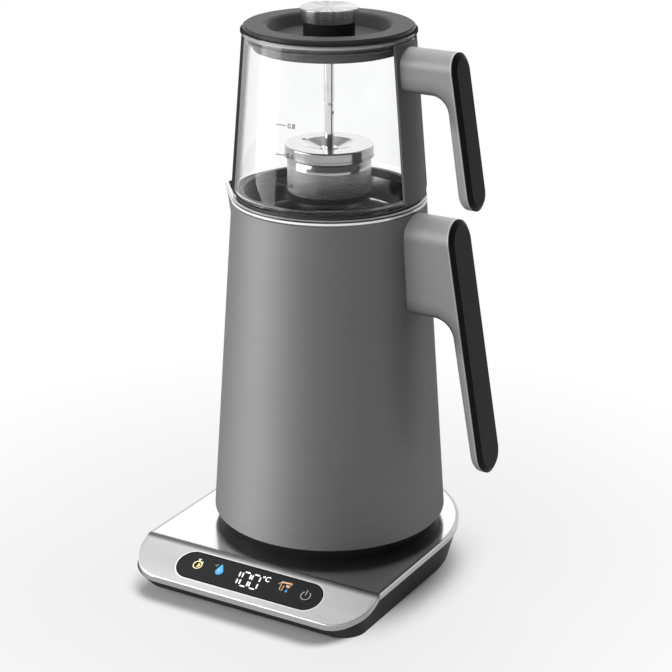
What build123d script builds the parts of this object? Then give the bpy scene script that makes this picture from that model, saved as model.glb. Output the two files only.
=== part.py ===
from build123d import *
from math import acos, cos, radians, sin, sqrt, tan
import os

# Automatic tea maker: a cordless kettle on a powered base, and a glass teapot that sits in the
# kettle's mouth. Millimetres, +Z up. The origin is on the table, on the kettle's axis; the touch
# panel faces -Y, both handles point to +X and both pouring lips to -X.

os.makedirs("parts", exist_ok=True)

# ---------------------------------------------------------------- driving dimensions
FIT = 0.05                   # radial clearance between parts that locate each other
OVERRUN = 6.0                # how far a cutting block runs past what it cuts

# powered base
foot_height = 2.5
foot_radius = 7.0
base_half_width = 88.6       # also the radius of the round back
base_front = 118.6
front_corner = 25.0
plateau_height = 28.8
crease_distance = 88.6
crease_radius = 4.6
strip_angle = 24.0
cover_sheet = 0.8
cover_lip = 4.0
cover_edge_radius = 1.0
housing_wall = 2.6
housing_floor = 2.4
housing_draft = 0.27         # how far the side wall leans in for each millimetre below the lip
housing_front_draft = 0.92   # the same for the front wall
housing_edge_radius = 2.0
housing_corner_low = 16.0
housing_corner_high = 24.0
post_radius = 4.2
post_height = 16.0
standoff_wall = 2.1
cover_posts = ((30.0, 62.0), (68.0, -82.0))      # mirrored across the YZ plane
foot_places = ((54.0, 44.0), (50.0, -96.0))      # mirrored across the YZ plane
screw_radius = 1.5
screw_head_radius = 2.9
screw_head_height = 2.0
head_pocket_depth = 4.5
screw_play = 0.2             # radial room round a screw's shank where it passes through
head_play = 0.4              # radial room round a screw's head
gland_height = 12.5
gland_boss_radius = 9.0
gland_depth = 9.6
cord_radius = 3.2
gland_neck_wall = 2.4
gland_flange_reach = 2.0     # how far its flanges stand out round the neck
gland_flange = 2.0

# touch panel and electronics
panel_length = 109.5
panel_width = 22.4
panel_distance = 16.1        # from the crease to the panel's middle, down the strip
panel_flange = 0.5
panel_thickness = 1.6
display_length = 36.0
display_width = 14.0
display_depth = 5.0
control_length = 110.0
control_width = 17.0
board_thickness = 1.6
board_corner = 1.6
key_places = (-40.3, -24.0, 27.5, 42.0)
key_spring_radius = 3.4
key_spring_wall = 0.5
power_board_size = (44.0, 84.0)
power_board_centre = (-50.0, -24.0)
power_board_height = 9.0
board_inset = 5.0
standoff_radius = 3.0
transformer_size = (20.0, 24.0, 14.0)
transformer_place = (-9.0, 20.0)                 # places on the power board, from its centre
relay_size = (15.0, 19.0, 15.0)
relay_place = (10.0, 20.0)
terminal_size = (10.0, 26.0, 9.0)
terminal_place = (-12.0, -14.0)
capacitor_radius = 5.0
capacitor_height = 12.0
capacitor_places = ((8.0, -4.0), (8.0, -20.0))

# 360 degree connector
connector_radius = 22.0
connector_depth = 16.8
collar_reach = 2.0           # how far the collar laps over the cover
collar_height = 1.2
tower_radius = 13.2
tower_height = 9.5
tower_edge_radius = 1.2
groove_outer_radius = 11.4
groove_width = 2.0
groove_depth = 7.5
pin_hole_radius = 3.2
contact_wall = 0.45
contact_drop = 1.0           # how far the contacts stay below the tower's top
socket_clearance = 1.4       # radial room between the tower and the socket
socket_wall = 3.9
socket_flange_reach = 4.5
socket_gap = 2.6             # from the plateau to the socket's lower rim
socket_roof = 1.6
tower_headroom = 1.3
blade_wall = 0.5
blade_gap = 0.45             # between the male and the female contacts

# kettle, from its foot to its mouth
ring_height = 8.2
ring_foot_inset = 6.2        # from the shell's lower edge in to the ring's foot
ring_top_inset = 2.6
ring_wall = 2.4
ring_spigot = 2.4            # how far the ring reaches up inside the shell
web_lift = 4.2
ring_web = 2.2
body_bottom_radius = 78.2
body_top_radius = 63.25
body_height = 215.0
shell_wall = 1.2
shell_edge_radius = 1.4
shell_flange = 8.2           # turned-in edge of the shell's bottom
liner_lift = 13.0
liner_inset = 6.2            # from the shell's lower edge in to the liner's wall
liner_wall = 0.8
liner_corner = 6.0
rim_height = 4.0
rim_wall = 2.4
rim_skirt = 6.0
rim_edge_radius = 0.9
ledge_width = 2.25
ledge_rise = 2.0
ledge_thickness = 1.8
spout_height = 52.0
spout_overhang = 15.75       # how far the tip reaches past the round mouth
spout_tip_radius = 6.0
spout_root_tip_radius = 40.0
spout_sink = 0.4             # how far the lip's flanks start inside the round body
spout_bend = 13.25           # from the round mouth in to where the rim starts to droop
spout_droop = 3.2
plate_inset = 10.0           # from the liner's wall in to the heating plate's edge
plate_thickness = 3.4
element_radius = 44.0
element_width = 6.6
element_height = 5.0
element_gap_angle = 50.0
terminal_radius = 1.6
terminal_inset = 4.0         # degrees from each end of the element
terminal_length = 5.0
stud_radius = 3.2
stud_circle_radius = 55.0
stud_start_angle = 30.0
stud_screw_end = 1.0         # how far the screw's end stays below the plate
probe_radius = 2.5
probe_place = (28.0, -21.0)
probe_height = 10.0
probe_collar = 1.9
thermostat_size = (34.0, 20.0)
thermostat_corner = 3.0
disc_radius = 7.5
disc_thickness = 0.8
disc_places = ((-9.0, 0.0), (9.0, 0.0))

# handles
kettle_grip_half_width = 14.5
kettle_grip_drop = 165.5     # from the handle's top down to its foot
kettle_arm_height = 63.0
kettle_leg_reach = 32.5      # from the round mouth out to the leg's inner face, at the top
kettle_pad_reach = 28.6
kettle_grip_bend = 14.0
teapot_grip_below_rim = 5.7
teapot_grip_half_width = 11.5
teapot_grip_drop = 97.7
teapot_arm_height = 26.7
teapot_leg_reach = 33.3      # from the glass's rim
teapot_pad_reach = 35.6
teapot_grip_bend = 12.0
pad_thickness = 2.7
pad_bevel = 2.0
pad_bevel_width = 3.2
pad_plug = 1.2
handle_wall = 2.4
grip_edge_radius = 4.0
handle_screw_radius = 2.0
handle_screw_head = 3.6
handle_boss_radius = 5.0
handle_boss_length = 7.5
kettle_screw_spacing = 26.0
kettle_screw_bite = 0.5      # how far short of the shell the screws' ends stay
teapot_screw_bite = 0.3

# teapot, from its floor to its rim
cup_depth = 17.2
cup_flange = 0.8
cup_flange_play = 0.45       # radial room inside the kettle's rim
cup_wall_inset = 2.6         # from the ledge in to the cup's wall
cup_taper = 3.4
cup_wall = 0.8
cup_corner = 3.5
seal_thickness = 2.2
seal_inset = 0.4
seal_play = 0.5
glass_height = 106.4
glass_overhang = 3.0         # how far the glass's foot stands out past the cup's flange
glass_top_radius = 54.7
glass_wall = 2.6
glass_corner = 5.5
glass_bead = 1.2
glass_bead_height = 2.6
lip_height = 17.4
lip_overhang = 5.5
lip_tip_radius = 7.0
lip_root_tip_radius = 35.0
strap_half_angle = 13.0
strap_foot = 3.0
strap_drop = 3.0
strap_thickness = 1.5
strap_corner = 1.5
bond_thickness = 0.5
bond_margin = 2.0            # how far the bond stays in from the strap's edge
bond_gap = 0.1

# lid
lid_inset = 0.3              # from the glass's outside in to the lid's edge
lid_thickness = 3.0
lid_plate_edge = 0.7         # height of the lid plate's edge above the ring round it
lid_plate_inset = 0.9
lid_edge_radius = 0.4
edge_ring_width = 6.0
edge_ring_groove = 0.35
edge_ring_radius = 0.3
lid_rim_width = 14.4
recess_slope_width = 5.0
recess_depth = 8.0
recess_shoulder = 4.0
recess_corner = 1.0
lid_wall = 2.0
skirt_inset = 4.1            # from the inside of the glass in to the skirt
skirt_depth = 12.4
skirt_wall = 1.8
skirt_corner = 1.4
pour_flat = 4.0              # how deep the skirt is cut flat on the pouring side
pour_flat_height = 5.4
gasket_drop = 0.8
gasket_height = 6.4
gasket_band = 1.2
gasket_fin = 1.4
gasket_clearance = 0.35      # from the glass, so that the lid lifts without scraping
bush_wall = 2.7
bush_flange_reach = 2.5
bush_flange = 2.0

# knob, rod and strainer
knob_rise = 10.6             # from the lid's top to the knob's
knob_radius = 18.7
knob_taper = 1.2
knob_height = 8.6
knob_wall = 1.1
knob_edge_radius = 0.6
neck_inset = 2.3
knob_screw_well = 4.9
knob_screw_length = 10.0
knob_screw_play = 0.3
rod_overlap = 1.5            # how far the rod reaches up into the knob's neck
rod_tap_depth = 12.0
rod_radius = 3.3
rod_wall = 0.7
rod_joint_gap = 0.7
rod_joint_chamfer = 0.4
rod_joint_rise = 25.6        # from the strainer cap to the joint
stem_step = 0.3              # how much thinner the stem is than the rod
stem_wall = 0.8
spigot_length = 9.0
stem_hole_drop = 5.4
stem_hole_radius = 1.0
strainer_clearance = 13.4    # from the teapot's floor to the strainer
cup_radius = 27.1
cup_height = 34.0
cup_sheet = 0.6
cup_bottom_corner = 8.0
cap_play = 0.8               # radial room between the cap's skirt and the cup
cap_rise = 5.2               # from the cup's upper edge to the cap's top
cap_wall = 0.7
cap_skirt = 7.2
cap_bead = 0.4
cap_bead_height = 1.2
cap_edge_radius = 1.0
dish_radius = 17.0
dish_depth = 3.6
ferrule_reach = 2.5
ferrule_height = 1.1
vent_radius = 1.6
vent_distance = 18.8
lug_count = 3
lug_angle = 24.0
lug_height = 1.0
lug_reach = 0.55
lug_play = 0.15
tab_play = 0.2

# ---------------------------------------------------------------- levels and radii they give
shell_bottom = plateau_height + ring_height
ring_web_level = plateau_height + web_lift
liner_bottom = shell_bottom + liner_lift
rim_level = shell_bottom + body_height       # top edge of the painted shell
spout_start = rim_level - spout_height
ledge_level = rim_level + ledge_rise
cup_floor = ledge_level - cup_depth
seal_bottom = ledge_level + cup_flange
glass_bottom = seal_bottom + seal_thickness
glass_top = glass_bottom + glass_height
lip_start = glass_top - lip_height
strap_bottom = glass_bottom + strap_foot
strap_top = glass_top - strap_drop
lid_top = glass_top + lid_thickness
recess_floor = lid_top - recess_depth
skirt_bottom = glass_top - skirt_depth
gasket_top = glass_top - gasket_drop
bush_bottom = skirt_bottom - bush_flange
knob_top = lid_top + knob_rise
knob_bottom = knob_top - knob_height
rod_top = knob_top - knob_wall - knob_screw_well
rod_end = rod_top - rod_overlap
cup_bottom = cup_floor + strainer_clearance
cap_top = cup_bottom + cup_height + cap_rise
dish_level = cap_top - dish_depth
rod_joint = cap_top + rod_joint_rise

shell_flange_radius = body_bottom_radius - shell_flange
ring_foot_radius = body_bottom_radius - ring_foot_inset
ring_top_radius = body_bottom_radius - ring_top_inset
liner_bottom_radius = body_bottom_radius - liner_inset
plate_radius = liner_bottom_radius - plate_inset
spout_reach = body_top_radius + spout_overhang
ledge_radius = body_top_radius - rim_wall - ledge_width
cup_flange_radius = body_top_radius - rim_wall - cup_flange_play
cup_top_radius = ledge_radius - cup_wall_inset
cup_floor_radius = cup_top_radius - cup_taper
glass_bottom_radius = cup_flange_radius + glass_overhang
glass_opening_radius = cup_top_radius + seal_play
lip_reach = glass_top_radius + lip_overhang
lid_radius = glass_top_radius - lid_inset
recess_radius = lid_radius - lid_rim_width
recess_floor_radius = recess_radius - recess_slope_width
skirt_radius = glass_top_radius - glass_wall - skirt_inset
rod_bore_radius = rod_radius - rod_wall
stem_radius = rod_radius - stem_step
stem_bore_radius = stem_radius - stem_wall
bush_radius = rod_radius + FIT + bush_wall
cap_radius = cup_radius + cap_play + cap_wall

slope = tan(radians(strip_angle))
strip_sheet = cover_sheet * cos(radians(strip_angle))    # cover thickness square to the strip
strip_direction = (0, -sin(radians(strip_angle)), cos(radians(strip_angle)))
strip_plane = Plane(
    origin=(0, -crease_distance - panel_distance * cos(radians(strip_angle)),
            plateau_height - panel_distance * sin(radians(strip_angle))),
    x_dir=(1, 0, 0), z_dir=strip_direction)


# ---------------------------------------------------------------- shared shapes
def base_outline(height, half_width, front, corner):
    """Plan of the base: half round at the back, straight sides, a square front with round corners."""
    with BuildSketch(Plane.XY.offset(height)) as outline:
        with Locations((0, -front)):
            Rectangle(2 * half_width, front, align=(Align.CENTER, Align.MIN))
        fillet(outline.vertices().group_by(Axis.Y)[0], corner)
        Circle(half_width)
    return outline.sketch


def base_slab(top_drop, bottom_drop, crease=crease_radius):
    """Side profile between two copies of the cover's top line: plateau, crease, sloping strip."""
    back = base_half_width + OVERRUN
    front = base_front + 6 * OVERRUN
    strip_fall = slope * (front - crease_distance)
    top = plateau_height - top_drop
    bottom = plateau_height - bottom_drop
    with BuildSketch(Plane.YZ) as slab:
        with BuildLine():
            Polyline((back, top), (-crease_distance, top), (-front, top - strip_fall),
                     (-front, bottom - strip_fall), (-crease_distance, bottom), (back, bottom),
                     close=True)
        make_face()
        for level in (top, bottom):
            fillet(slab.vertices().sort_by_distance((-crease_distance, level))[0], crease)
    return slab.sketch


def cover_block(top_drop, bottom_drop, inset, crease=crease_radius):
    """Solid between two copies of the cover's top, drawn in from its outline by inset."""
    with BuildPart() as block:
        extrude(base_slab(top_drop, bottom_drop, crease), amount=base_half_width + OVERRUN, both=True)
        extrude(base_outline(0, base_half_width - inset, base_front - inset, front_corner - inset),
                amount=plateau_height + OVERRUN, mode=Mode.INTERSECT)
    return block.part


def housing_block(inset, floor):
    """Solid of the lower housing: its side leans out from the floor to the cover's lip."""
    side_lip = plateau_height - cover_lip
    front_lip = side_lip - slope * (base_front - crease_distance)
    low_side = base_half_width - cover_sheet - inset - housing_draft * (side_lip - floor)
    low_front = base_front - cover_sheet - inset - housing_front_draft * (front_lip - floor)
    rise = plateau_height - floor
    with BuildPart() as block:
        loft([base_outline(floor, low_side, low_front, housing_corner_low),
              base_outline(plateau_height, low_side + housing_draft * rise,
                           low_front + housing_front_draft * rise, housing_corner_high)], ruled=True)
    return block.part


def above(body, level):
    """The part of a solid above a level."""
    with BuildPart() as kept:
        add(body)
        split(bisect_by=Plane.XY.offset(level), keep=Keep.TOP)
    return kept.part


def mirrored(places):
    """Each place and its mirror image across the YZ plane."""
    return [(side * x, y) for x, y in places for side in (1, -1)]


def lip_points(radius, reach, tip_radius):
    """Where a pouring lip's straight flank leaves its tip, and where it meets the round body."""
    tip = reach - tip_radius
    angle = acos((radius - tip_radius) / tip)
    flank = (-tip - tip_radius * cos(angle), tip_radius * sin(angle))
    return flank, (-radius * cos(angle), radius * sin(angle))


def lip_outline(height, radius, reach, tip_radius):
    """Plan of a pouring lip alone: two flanks that start just inside the round body."""
    flank, root = lip_points(radius - spout_sink, reach, tip_radius)
    with BuildSketch(Plane.XY.offset(height)) as outline:
        with BuildLine():
            Polyline(flank, root, (0, 0), (root[0], -root[1]), (flank[0], -flank[1]))
            ThreePointArc((flank[0], -flank[1]), (-reach, 0), flank)
        make_face()
    return outline.sketch


def mouth_outline(height, radius, reach, tip_radius):
    """Plan of a round mouth with its pouring lip, smooth all round."""
    flank, root = lip_points(radius, reach, tip_radius)
    with BuildSketch(Plane.XY.offset(height)) as outline:
        with BuildLine():
            Line(flank, root)
            ThreePointArc(root, (radius, 0), (root[0], -root[1]))
            Line((root[0], -root[1]), (flank[0], -flank[1]))
            ThreePointArc((flank[0], -flank[1]), (-reach, 0), flank)
        make_face()
    return outline.sketch


def lip_block(low, high, low_radius, high_radius, reach, tip_radius, root_tip_radius):
    """Solid of a pouring lip, from nothing at its root to its full reach at the top."""
    rise = 1 + OVERRUN / (high - low)
    top_radius = low_radius + rise * (high_radius - low_radius)
    root_reach = low_radius + FIT
    with BuildPart() as block:
        loft([lip_outline(low, low_radius, root_reach, root_tip_radius),
              lip_outline(high + OVERRUN, top_radius, root_reach + rise * (reach - root_reach),
                          root_tip_radius + rise * (tip_radius - root_tip_radius))], ruled=True)
    return block.part


def cone(low, high, low_radius, high_radius):
    """Solid round body of straight taper about the Z axis."""
    with BuildPart() as body:
        with BuildSketch(Plane.XZ):
            Polygon((0, low), (low_radius, low), (high_radius, high), (0, high), align=None)
        revolve(axis=Axis.Z)
    return body.part


def along(level, low, high, low_value, high_value):
    """Value at a level, on the straight line through two others."""
    return low_value + (level - low) / (high - low) * (high_value - low_value)


def body_radius(level):
    """Outer radius of the kettle's shell at a level."""
    return along(level, shell_bottom, rim_level, body_bottom_radius, body_top_radius)


def liner_radius(level):
    """Outer radius of the kettle's liner at a level."""
    top_radius = body_top_radius - rim_wall + FIT
    return along(level, liner_bottom, rim_level, liner_bottom_radius, top_radius)


def glass_radius(level):
    """Outer radius of the glass at a level."""
    return along(level, glass_bottom, glass_top, glass_bottom_radius, glass_top_radius)


def kettle_solid(inset):
    """Kettle body with its spout, drawn in from the shell's outside by inset."""
    top = rim_level + OVERRUN
    with BuildPart() as body:
        add(cone(shell_bottom, top, body_bottom_radius - inset, body_radius(top) - inset))
        add(lip_block(spout_start, rim_level, body_radius(spout_start) - inset,
                      body_top_radius - inset, spout_reach - inset, spout_tip_radius - inset,
                      spout_root_tip_radius))
    return body.part


def liner_solid(inset):
    """Water vessel with its part of the spout, drawn in from the liner's outside by inset."""
    top = rim_level + OVERRUN
    side = rim_wall - FIT
    with BuildPart() as body:
        add(cone(liner_bottom, top, liner_bottom_radius - inset, liner_radius(top) - inset))
        add(lip_block(spout_start, rim_level, liner_radius(spout_start) - inset,
                      liner_radius(rim_level) - inset, spout_reach - side - inset,
                      spout_tip_radius - side - inset, spout_root_tip_radius))
    return body.part


def rim_slab(low, high):
    """Band that follows the kettle's rim: level round the mouth, drooping towards the spout."""
    reach = body_bottom_radius + OVERRUN
    bend = body_top_radius - spout_bend
    fall = spout_droop / (spout_reach - bend) * (reach - bend)
    with BuildPart() as band:
        with BuildSketch(Plane.XZ) as side:
            with BuildLine():
                Polyline((reach, rim_level + low), (reach, rim_level + high),
                         (-bend, rim_level + high), (-reach, rim_level + high - fall),
                         (-reach, rim_level + low - fall), (-bend, rim_level + low),
                         close=True)
            make_face()
        extrude(amount=reach, both=True)
    return band.part


def rim_outline(inset):
    """Plan of the kettle's mouth with its pouring lip, drawn in by inset."""
    return mouth_outline(rim_level - rim_skirt - OVERRUN, body_top_radius - inset,
                         spout_reach - inset, spout_tip_radius - inset)


def rim_band(outer_inset, inner_inset, low, high):
    """Ring of the rim between two insets and two heights about the rim line."""
    with BuildPart() as band:
        extrude(rim_outline(outer_inset), amount=rim_skirt + 3 * OVERRUN)
        extrude(rim_outline(inner_inset), amount=rim_skirt + 3 * OVERRUN, mode=Mode.SUBTRACT)
        add(rim_slab(low, high), mode=Mode.INTERSECT)
    return band.part


class Handle:
    """Sizes of one handle: a level arm, and a grip that leans out as it goes down."""

    def __init__(self, half_width, top, drop, arm_height, leg_x, leg_lean, pad_x, pad_lean, bend):
        self.half_width = half_width
        self.top = top
        self.bottom = top - drop
        self.arm_bottom = top - arm_height      # level of the arm's underside
        self.leg_x = leg_x                # inner face of the grip at the arm's underside
        self.leg_lean = leg_lean          # how far that face moves out for each millimetre down
        self.pad_x = pad_x                # seat of the grip pad at the top
        self.pad_lean = pad_lean
        self.bend = bend                  # radius between the arm's underside and the grip

    def seat_x(self, level):
        """Where the grip pad's seat is at a level."""
        return self.pad_x + self.pad_lean * (self.top - level)

    def leg(self, level):
        """Where the grip's inner face is at a level."""
        return self.leg_x + self.leg_lean * (self.arm_bottom - level)

    def front(self, inset):
        """Outline seen from the grip's side: a slot with round ends."""
        with BuildSketch(Plane.YZ) as outline:
            with Locations((0, (self.top + self.bottom) / 2)):
                SlotOverall(self.top - self.bottom - 2 * inset, 2 * (self.half_width - inset),
                            rotation=90)
        return outline.sketch

    def blank(self, inset):
        """Arm and grip as one solid that starts on the Z axis, drawn in by inset except at the pad."""
        low = self.bottom - OVERRUN
        high = self.top + OVERRUN
        arm_bottom = self.arm_bottom + inset
        with BuildPart() as body:
            with BuildSketch(Plane.XZ) as side:
                with BuildLine():
                    Polyline((0, arm_bottom), (self.leg(arm_bottom) + inset, arm_bottom),
                             (self.leg(low) + inset, low), (self.seat_x(low), low),
                             (self.seat_x(high), high), (0, high), close=True)
                make_face()
                inner_corner = (self.leg(arm_bottom) + inset, arm_bottom)
                fillet(side.vertices().sort_by_distance(inner_corner)[0], self.bend - inset)
            extrude(amount=self.half_width - inset, both=True)
            extrude(self.front(inset), amount=self.seat_x(low) + OVERRUN, mode=Mode.INTERSECT)
        return body.part

    def pad(self, low, high, inset):
        """Slab over the grip between two distances outside the pad's seat."""
        bottom = self.bottom - OVERRUN
        top = self.top + OVERRUN
        with BuildPart() as slab:
            with BuildSketch(Plane.XZ) as side:
                with BuildLine():
                    Polyline((self.seat_x(top) + low, top), (self.seat_x(top) + high, top),
                             (self.seat_x(bottom) + high, bottom), (self.seat_x(bottom) + low, bottom),
                             close=True)
                make_face()
            extrude(amount=self.half_width + OVERRUN, both=True)
            extrude(self.front(inset), amount=self.seat_x(bottom) + 2 * OVERRUN, mode=Mode.INTERSECT)
        return slab.part


def hollow(handle, low_radius, low, high_radius, high):
    """Inside of a handle, which leaves a wall where the arm meets the tapered body."""
    with BuildPart() as inside:
        add(handle.blank(handle_wall))
        add(cone(low, high, low_radius + handle_wall, high_radius + handle_wall),
            mode=Mode.SUBTRACT)
    return inside.part


kettle_grip = Handle(half_width=kettle_grip_half_width, top=rim_level, drop=kettle_grip_drop,
                     arm_height=kettle_arm_height, leg_x=body_top_radius + kettle_leg_reach,
                     leg_lean=0.181, pad_x=body_top_radius + kettle_pad_reach, pad_lean=0.171,
                     bend=kettle_grip_bend)
teapot_grip = Handle(half_width=teapot_grip_half_width, top=glass_top - teapot_grip_below_rim,
                     drop=teapot_grip_drop, arm_height=teapot_arm_height,
                     leg_x=glass_top_radius + teapot_leg_reach, leg_lean=0.157,
                     pad_x=glass_top_radius + teapot_pad_reach, pad_lean=0.168,
                     bend=teapot_grip_bend)


# ---------------------------------------------------------------- powered base
with BuildPart() as base_cover:
    add(cover_block(0, cover_lip, 0))
    middles = [(edge, edge.position_at(0.5)) for edge in base_cover.edges()]
    drop_limit = cover_lip / 2
    rim_edges = [edge for edge, middle in middles
                 if (abs(middle.X) > 1 or middle.Y > 0 or middle.Y < 1 - base_front)
                 and middle.Z > plateau_height - drop_limit
                 - slope * max(0, -middle.Y - crease_distance)]
    fillet(rim_edges, cover_edge_radius)
    add(cover_block(cover_sheet, cover_lip + OVERRUN, cover_sheet, cover_sheet),
        mode=Mode.SUBTRACT)
    with Locations((0, 0, plateau_height)):
        Hole(connector_radius + FIT, depth=2 * cover_lip)
    with BuildSketch(strip_plane):
        SlotOverall(panel_length, panel_width)
    extrude(amount=cover_lip, both=True, mode=Mode.SUBTRACT)
base_cover.part.label = "base_cover"
export_step(base_cover.part, "parts/base_cover.step")

post_places = mirrored(cover_posts)
housing_floor_top = foot_height + housing_floor
gland_neck_radius = cord_radius + gland_neck_wall
gland_flange_radius = gland_neck_radius + gland_flange_reach
gland_face = (base_half_width - cover_sheet
              - housing_draft * (plateau_height - cover_lip - gland_height - gland_boss_radius))
control_depth = strip_sheet + panel_thickness + display_depth + board_thickness
control_plane = strip_plane.offset(-control_depth)
board_places = [(power_board_centre[0] + side_x * (power_board_size[0] / 2 - board_inset),
                 power_board_centre[1] + side_y * (power_board_size[1] / 2 - board_inset))
                for side_x in (-1, 1) for side_y in (-1, 1)]
control_screw_places = [(side * (control_length / 2 - board_inset), 0) for side in (-1, 1)]

with BuildPart() as base_housing:
    add(housing_block(0, foot_height))
    fillet(base_housing.edges().group_by(Axis.Z)[0], housing_edge_radius)
    extrude(base_slab(-2 * plateau_height, cover_lip), amount=base_half_width + OVERRUN,
            both=True, mode=Mode.SUBTRACT)
    add(cover_block(cover_sheet + FIT, cover_lip + cover_sheet, cover_sheet + FIT, cover_sheet))
    add(housing_block(housing_wall, housing_floor_top), mode=Mode.SUBTRACT)
    with BuildSketch(Plane.XY.offset(foot_height)):
        with Locations(post_places):
            Circle(post_radius)
    extrude(amount=post_height - foot_height)
    with BuildSketch(Plane.XY.offset(housing_floor_top)):
        Circle(connector_radius)
        Circle(connector_radius - housing_wall, mode=Mode.SUBTRACT)
    extrude(amount=plateau_height - connector_depth - housing_floor_top)
    with BuildSketch(Plane.XY.offset(housing_floor_top)):
        with Locations(board_places):
            Circle(standoff_radius)
    extrude(amount=power_board_height - housing_floor_top)
    with BuildSketch(control_plane):
        with Locations(control_screw_places):
            Circle(standoff_radius)
    extrude(amount=-foot_height - 2 * OVERRUN)
    with Locations((0, 0, foot_height)):
        Box(3 * base_front, 3 * base_front, 2 * OVERRUN, mode=Mode.SUBTRACT,
            align=(Align.CENTER, Align.CENTER, Align.MAX))
    with Locations([(x, y, post_height) for x, y in post_places]):
        Hole(screw_radius + screw_play, depth=post_height)
    with Locations([(x, y, foot_height + head_pocket_depth) for x, y in post_places]):
        Hole(screw_head_radius + head_play, depth=head_pocket_depth + OVERRUN)
    with BuildSketch(Plane.XZ.offset(-gland_face)):
        with Locations((0, gland_height)):
            Circle(gland_boss_radius)
    extrude(amount=gland_depth)
    with BuildSketch(Plane.XZ.offset(-gland_face)):
        with Locations((0, gland_height)):
            Circle(gland_neck_radius + FIT)
    extrude(amount=gland_depth, mode=Mode.SUBTRACT)
base_housing.part.label = "base_housing"
export_step(base_housing.part, "parts/base_housing.step")

with BuildPart() as cover_standoffs:
    with BuildSketch(Plane.XY.offset(post_height)):
        with Locations(post_places):
            Circle(screw_radius + FIT + standoff_wall)
            Circle(screw_radius + FIT, mode=Mode.SUBTRACT)
    extrude(amount=plateau_height - cover_sheet - post_height)
cover_standoffs.part.label = "cover_standoffs"
export_step(cover_standoffs.part, "parts/cover_standoffs.step")

with BuildPart() as base_screws:
    with BuildSketch(Plane.XY.offset(foot_height + head_pocket_depth - screw_head_height)):
        with Locations(post_places):
            Circle(screw_head_radius)
    extrude(amount=screw_head_height)
    with BuildSketch(Plane.XY.offset(foot_height + head_pocket_depth)):
        with Locations(post_places):
            Circle(screw_radius)
    extrude(amount=post_height - foot_height)
base_screws.part.label = "base_screws"
export_step(base_screws.part, "parts/base_screws.step")

with BuildPart() as rubber_feet:
    with BuildSketch():
        with Locations(mirrored(foot_places)):
            Circle(foot_radius)
    extrude(amount=foot_height)
    fillet(rubber_feet.edges().group_by(Axis.Z)[0], foot_height / 3)
rubber_feet.part.label = "rubber_feet"
export_step(rubber_feet.part, "parts/rubber_feet.step")

with BuildPart() as cord_gland:
    outside = gland_face + gland_flange
    inside = gland_face - gland_depth - gland_flange
    with BuildSketch(Plane.YZ):
        with Locations((outside, gland_height)):
            Rectangle(gland_flange, gland_flange_radius, align=(Align.MAX, Align.MIN))
            Rectangle(outside - inside, gland_neck_radius, align=(Align.MAX, Align.MIN))
        with Locations((inside, gland_height)):
            Rectangle(gland_flange, gland_flange_radius, align=(Align.MIN, Align.MIN))
    revolve(axis=Axis((0, 0, gland_height), (0, 1, 0)))
    fillet(cord_gland.edges().filter_by(GeomType.CIRCLE).group_by(Axis.Y)[-1], gland_flange / 3)
    with BuildSketch(Plane.XZ.offset(-inside)):
        with Locations((0, gland_height)):
            Circle(cord_radius)
    extrude(amount=inside - outside, mode=Mode.SUBTRACT)
cord_gland.part.label = "cord_gland"
export_step(cord_gland.part, "parts/cord_gland.step")

with BuildPart() as touch_panel:
    with BuildSketch(strip_plane.offset(-strip_sheet)):
        SlotOverall(panel_length - 2 * FIT, panel_width - 2 * FIT)
    extrude(amount=strip_sheet)
    with BuildSketch(strip_plane.offset(-strip_sheet)):
        SlotOverall(panel_length + 2 * panel_flange, panel_width + 2 * panel_flange)
    extrude(amount=-panel_thickness)
touch_panel.part.label = "touch_panel"
export_step(touch_panel.part, "parts/touch_panel.step")

with BuildPart() as display_module:
    with BuildSketch(strip_plane.offset(-strip_sheet - panel_thickness)):
        Rectangle(display_length, display_width)
    extrude(amount=-display_depth)
display_module.part.label = "display_module"
export_step(display_module.part, "parts/display_module.step")

with BuildPart() as touch_springs:
    with BuildSketch(strip_plane.offset(-strip_sheet - panel_thickness)):
        with Locations([(place, 0) for place in key_places]):
            Circle(key_spring_radius)
            Circle(key_spring_radius - key_spring_wall, mode=Mode.SUBTRACT)
    extrude(amount=-display_depth)
touch_springs.part.label = "touch_springs"
export_step(touch_springs.part, "parts/touch_springs.step")

with BuildPart() as control_board:
    with BuildSketch(control_plane):
        RectangleRounded(control_length, control_width, board_corner)
    extrude(amount=board_thickness)
control_board.part.label = "control_board"
export_step(control_board.part, "parts/control_board.step")

with BuildPart() as power_board:
    with BuildSketch(Plane.XY.offset(power_board_height)):
        with Locations(power_board_centre):
            RectangleRounded(*power_board_size, board_corner)
    extrude(amount=board_thickness)
power_board.part.label = "power_board"
export_step(power_board.part, "parts/power_board.step")

low_corner = (Align.CENTER, Align.CENTER, Align.MIN)
board_top = power_board_height + board_thickness


def on_board(place):
    """A place on the power board, measured from its centre."""
    return (power_board_centre[0] + place[0], power_board_centre[1] + place[1], board_top)


with BuildPart() as board_components:
    for size, place in ((transformer_size, transformer_place), (relay_size, relay_place),
                        (terminal_size, terminal_place)):
        with Locations(on_board(place)):
            Box(*size, align=low_corner)
    with Locations([on_board(place) for place in capacitor_places]):
        Cylinder(capacitor_radius, capacitor_height, align=low_corner)
board_components.part.label = "board_components"
export_step(board_components.part, "parts/board_components.step")

with BuildPart() as board_screws:
    with BuildSketch(Plane.XY.offset(board_top)):
        with Locations(board_places):
            Circle(screw_head_radius)
    extrude(amount=screw_head_height)
    with BuildSketch(control_plane.offset(board_thickness)):
        with Locations(control_screw_places):
            Circle(screw_head_radius)
    extrude(amount=screw_head_height)
board_screws.part.label = "board_screws"
export_step(board_screws.part, "parts/board_screws.step")

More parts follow.
